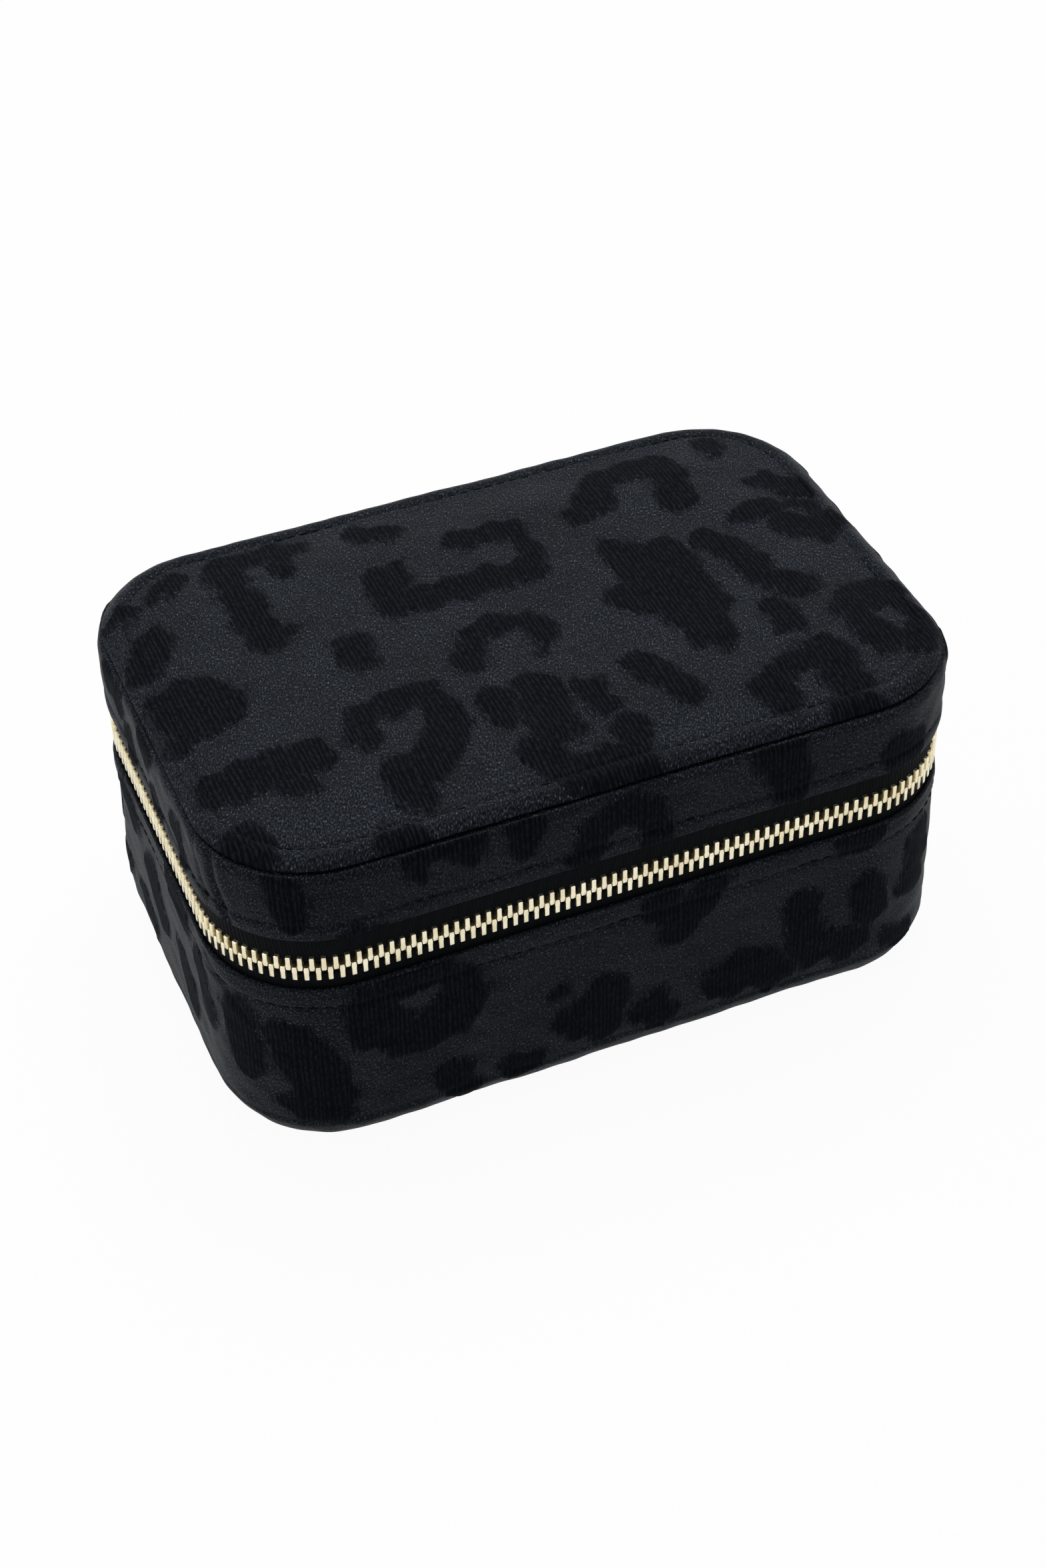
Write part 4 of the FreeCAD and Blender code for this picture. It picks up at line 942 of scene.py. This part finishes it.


# %% [markdown]
# ### Satin with pile spots
# The ground is a fine satin twill, its weave drawn as light and dark specks, with painted highlights: its
# brightest specks are painted glints in the colour. The spots are pile: darker, ribbed by the loom
# about every millimetre, and frayed at the edge. Places on the cloth are read from the mesh, so the ribs
# follow the strip round each corner.

# %% The pile cloth
GROUND_DARK, GROUND_LIGHT, GROUND_BRIGHT = colour(3, 4, 7), colour(30, 36, 43), colour(41, 47, 56)
# Painted highlight: the first colour on the next line is a near-white glint painted into the satin ground.
PAINTED_GLINT, PILE_DARK, PILE_LIGHT = colour(84, 91, 100), colour(2, 3, 5), colour(25, 29, 36)
pile_cloth, start = new_finish("pile_cloth")
cloth = start.node("ShaderNodeAttribute", {"attribute_name": "cloth"}, {}, "Vector")
spot = start.node("ShaderNodeAttribute", {"attribute_name": "spot"}, {}, "Fac")
slanted = start.node("ShaderNodeVectorRotate", {"rotation_type": "Z_AXIS"}, {"Vector": cloth, "Angle": 0.45})
fray = cloth.scaled((1.5, 0.34, 1.0)).noise(1.0, 3.0, 0.7) - 0.5
ragged = cloth.scaled((0.55, 0.3, 1.0)).noise(1.0, 2.0, 0.5) - 0.5
mask = (spot + 7.0 * fray + 2.6 * ragged).above(-1.2, 1.2)
grain = slanted.scaled((3.0, 1.5, 1.0)).noise(1.0, 1.0, 0.5)
fine = cloth.noise(4.2, 1.0, 0.5)
cloudy = cloth.noise(0.055, 2.0, 0.5)
wisps = cloth.scaled((0.9, 0.26, 1.0)).noise(1.0, 3.0, 0.7).above(0.53, 0.70)
rib = cloth.scaled((1.0, 0.10, 1.0)).wave(0.30, 5.0)
hair = cloth.scaled((2.1, 0.62, 1.0)).noise(1.0, 3.0, 0.72)
sparkle = (0.75 * grain + 0.25 * fine).above(0.42, 0.61)
glitter = sparkle * (1 - 0.7 * wisps)
# Painted highlight: the brightest specks of the grain take the glint colour, which stands for the satin's
# shine.
painted_glint = grain.above(0.61, 0.78) * (1 - wisps)
plain, bright = (glitter.mix(GROUND_DARK, thread) for thread in (GROUND_LIGHT, GROUND_BRIGHT))
ground = painted_glint.mix(cloudy.above(0.35, 0.7).mix(plain, bright), PAINTED_GLINT)
tuft = (0.16 * rib + 0.84 * hair).above(0.43, 0.70)
pile_colour = tuft.mix(PILE_DARK, PILE_LIGHT)
skin = mask.mix(ground, pile_colour)
roughness = 0.44 + 0.36 * mask + 0.06 * fine
relief = mask * (0.22 * rib + 1.2 * hair) + (1 - mask) * (0.75 * grain + 0.25 * fine)
fabric = {"Specular IOR Level": 0.04, "Sheen Weight": 0.015, "Sheen Roughness": 0.45,
          "Sheen Tint": colour(170, 185, 205)}
end_finish(pile_cloth, start, fabric, {"Base Color": skin, "Roughness": roughness}, (relief, 0.7, 0.0005))

# %% [markdown]
# ### Plain twill, tape and thread
# The underside and the spine are the same dark cloth without spots. The tape is woven in fine ribs across its
# length. Both are dark, so the weave shows mainly as relief.


# %% Woven dark cloths
def woven(name, dark, light, scale, tilt, roughness):
    """A cloth of crossing threads, its lines turned by an angle."""
    material, start = new_finish(name)
    place = start.place()
    turned = start.node("ShaderNodeVectorRotate", {"rotation_type": "AXIS_ANGLE"},
                        {"Vector": place, "Axis": (0.3, 0.4, 0.85), "Angle": tilt})
    threads = turned.wave(scale, 0.6) * 0.6 + turned.wave(scale, 0.6, "Y") * 0.4
    fuzz = place.noise(1800.0, 2.0, 0.6)
    look = (0.7 * threads + 0.3 * fuzz).mix(dark, light)
    constant = {"Specular IOR Level": 0.04, "Sheen Weight": 0.015, "Sheen Roughness": 0.5}
    end_finish(material, start, constant, {"Base Color": look, "Roughness": roughness + 0.1 * fuzz},
               (threads + 0.4 * fuzz, 0.5, 0.0003))


woven("plain_twill", colour(8, 9, 12), colour(26, 29, 33), 330.0, 0.7, 0.6)
woven("woven_tape", colour(4, 5, 7), colour(15, 17, 20), 420.0, 0.3, 0.7)
woven("dark_thread", colour(9, 11, 14), colour(27, 31, 36), 900.0, 0.9, 0.6)

# %% [markdown]
# ### Pale gold
# The zip's metal is a pale, slightly warm gold. It is bright on its edges and a little cloudy on its faces,
# from tumbling and wear, so the roughness wanders and the colour dulls in patches.

# %% The pale gold metal
pale_gold, start = new_finish("pale_gold")
place = start.place()
dull = place.noise(260.0, 3.0, 0.6)
fine = place.noise(2600.0, 2.0, 0.5)
metal = dull.above(0.3, 0.75).mix(colour(247, 240, 214), colour(228, 216, 180))
end_finish(pale_gold, start, {"Metallic": 1.0}, {"Base Color": metal, "Roughness": 0.24 + 0.16 * dull},
           (fine, 0.12, 0.0001))

# %% [markdown]
# ### The lining
# Inside, the trays are flocked: short fibres stand on end, which gives a soft sheen and tiny mottling. The
# ring rolls are velvet, with a stronger sheen, and the pocket is a thin satin.


# %% Flock, velvet and satin
def soft_lining(name, dark, light, scale, sheen, roughness):
    """A fibrous lining with mottling at two scales."""
    material, start = new_finish(name)
    place = start.place()
    fibre = place.noise(scale, 3.0, 0.65)
    patch = place.noise(70.0, 2.0, 0.5)
    look = (0.6 * fibre + 0.4 * patch).above(0.25, 0.75).mix(dark, light)
    constant = {"Specular IOR Level": 0.25, "Sheen Weight": sheen, "Sheen Roughness": 0.4}
    end_finish(material, start, constant, {"Base Color": look, "Roughness": roughness + 0.1 * fibre},
               (fibre, 0.5, 0.0004))


soft_lining("flock", colour(112, 101, 93), colour(148, 135, 125), 1500.0, 0.35, 0.85)
soft_lining("velvet", colour(116, 104, 96), colour(156, 143, 133), 1900.0, 0.6, 0.8)
soft_lining("satin", colour(124, 112, 103), colour(150, 138, 128), 2600.0, 0.15, 0.45)

# %% [markdown]
# ### Parts that hide inside
# The moulded shells never show, but they are there when the case is taken apart, so they get a plain moulded
# finish with a fine texture.

# %% The moulded shells
moulded, start = new_finish("moulded")
place = start.place()
texture = place.noise(900.0, 2.0, 0.5)
end_finish(moulded, start, {}, {"Base Color": texture.mix(colour(28, 28, 31), colour(38, 38, 41)),
                                "Roughness": 0.5 + 0.15 * texture}, (texture, 0.2, 0.0002))

# %% [markdown]
# ## Put the finishes on
# New pieces remember the finish they asked for. The solids that stay, such as the slider and its pull, get a
# finish by name, and a small bevel softens the edges of the metal ones. The pull's link is round wire, so it
# needs none.

# %% Assign finishes and soften solid edges
KEPT = {"base_shell": "moulded", "lid_shell": "moulded", "base_lining": "flock", "lid_lining": "flock"}
SOFTENED = ("slider_body", "pull_tab", "necklace_hooks", "upper_zip_stops", "lower_zip_stops")
for name in (*SOFTENED, "pull_link"):
    KEPT[name] = "pale_gold"


def put_on(made, finish):
    """Gives an object one finish and no other."""
    made.data.materials.clear()
    made.data.materials.append(bpy.data.materials[finish])


for name, finish in FINISH.items():
    put_on(bpy.data.objects[name], finish)
for name, finish in KEPT.items():
    put_on(nodes[name], finish)
for name in SOFTENED:
    nodes[name].modifiers.new("joined", "WELD").merge_threshold = 1e-6
    bevel = nodes[name].modifiers.new("softened", "BEVEL")
    bevel.width, bevel.segments, bevel.use_clamp_overlap = 0.22 * MM, 2, True
    bevel.limit_method, bevel.angle_limit = "ANGLE", math.radians(35)
print("pieces finished:", len(FINISH), "and solids kept:", len(KEPT))

# %% [markdown]
# ## Floor and light
# The photograph is cut out on white, lit from above and a little from the left. A pale floor takes the
# shadow, and looks white to the camera and in reflections. A broad soft lamp overhead, a weaker one at the
# left and a dim surround light the case at a plain level.

# %% The floor
WHITE, PAPER, WHITENED, FLOOR_HALF = (1.0, 1.0, 1.0, 1.0), (0.72, 0.72, 0.72, 1.0), 0.95, 4000


def seen_plainly(start):
    """1 for rays from the camera and those that are reflected or pass through, else 0."""
    seen = start.node("ShaderNodeLightPath", {}, {}, "Is Camera Ray")
    rays = seen.socket.node.outputs
    for kind in ("Is Glossy Ray", "Is Transmission Ray"):
        seen = seen.math("MAXIMUM", seen, Wire(start.tree, rays[kind]))
    return seen


floor_finish, start = new_finish("floor")
paper = start.node("ShaderNodeBsdfDiffuse", {}, {"Color": PAPER})
white = start.node("ShaderNodeEmission", {}, {"Color": WHITE, "Strength": 1.0})
start.node("ShaderNodeMixShader", {}, {0: seen_plainly(start) * WHITENED, 1: paper, 2: white}).show()
corners = [(x * FLOOR_HALF, y * FLOOR_HALF, 0) for x, y in ((-1, -1), (1, -1), (1, 1), (-1, 1))]
floor = piece("floor", corners, [[0, 1, 2, 3]])
floor.data.materials.append(floor_finish)

# %% The surround
DIM = 0.28
world = bpy.data.worlds.new("surround")
bpy.context.scene.world = world
world.use_nodes = True
world.node_tree.nodes.clear()
start = Wire(world.node_tree)
strength = DIM + (1 - DIM) * seen_plainly(start)
start.node("ShaderNodeBackground", {}, {"Color": WHITE, "Strength": strength}).show("ShaderNodeOutputWorld")
print("surround made")


# %% The lamps
def lamp(name, place, target, size, power):
    """A square soft lamp aimed at a point."""
    data = bpy.data.lights.new(name, "AREA")
    data.size, data.energy = size, power
    made = bpy.data.objects.new(name, data)
    made.location = place
    made.rotation_euler = (Vector(target) - Vector(place)).to_track_quat("-Z", "Y").to_euler()
    bpy.context.collection.objects.link(made)


lamp("overhead", (0.15, 0.45, 1.5), (0, 0, 0.06), 1.2, 22)
lamp("left", (-1.3, -0.1, 0.7), (0, 0, 0.05), 0.8, 4)
bpy.context.scene.view_settings.view_transform = "Standard"
print("lamps placed")

# %% [markdown]
# ## Close the lesson
# The dressed case has to keep the size of the solids.

# %% Bring the scene up to date
bpy.context.view_layer.update()
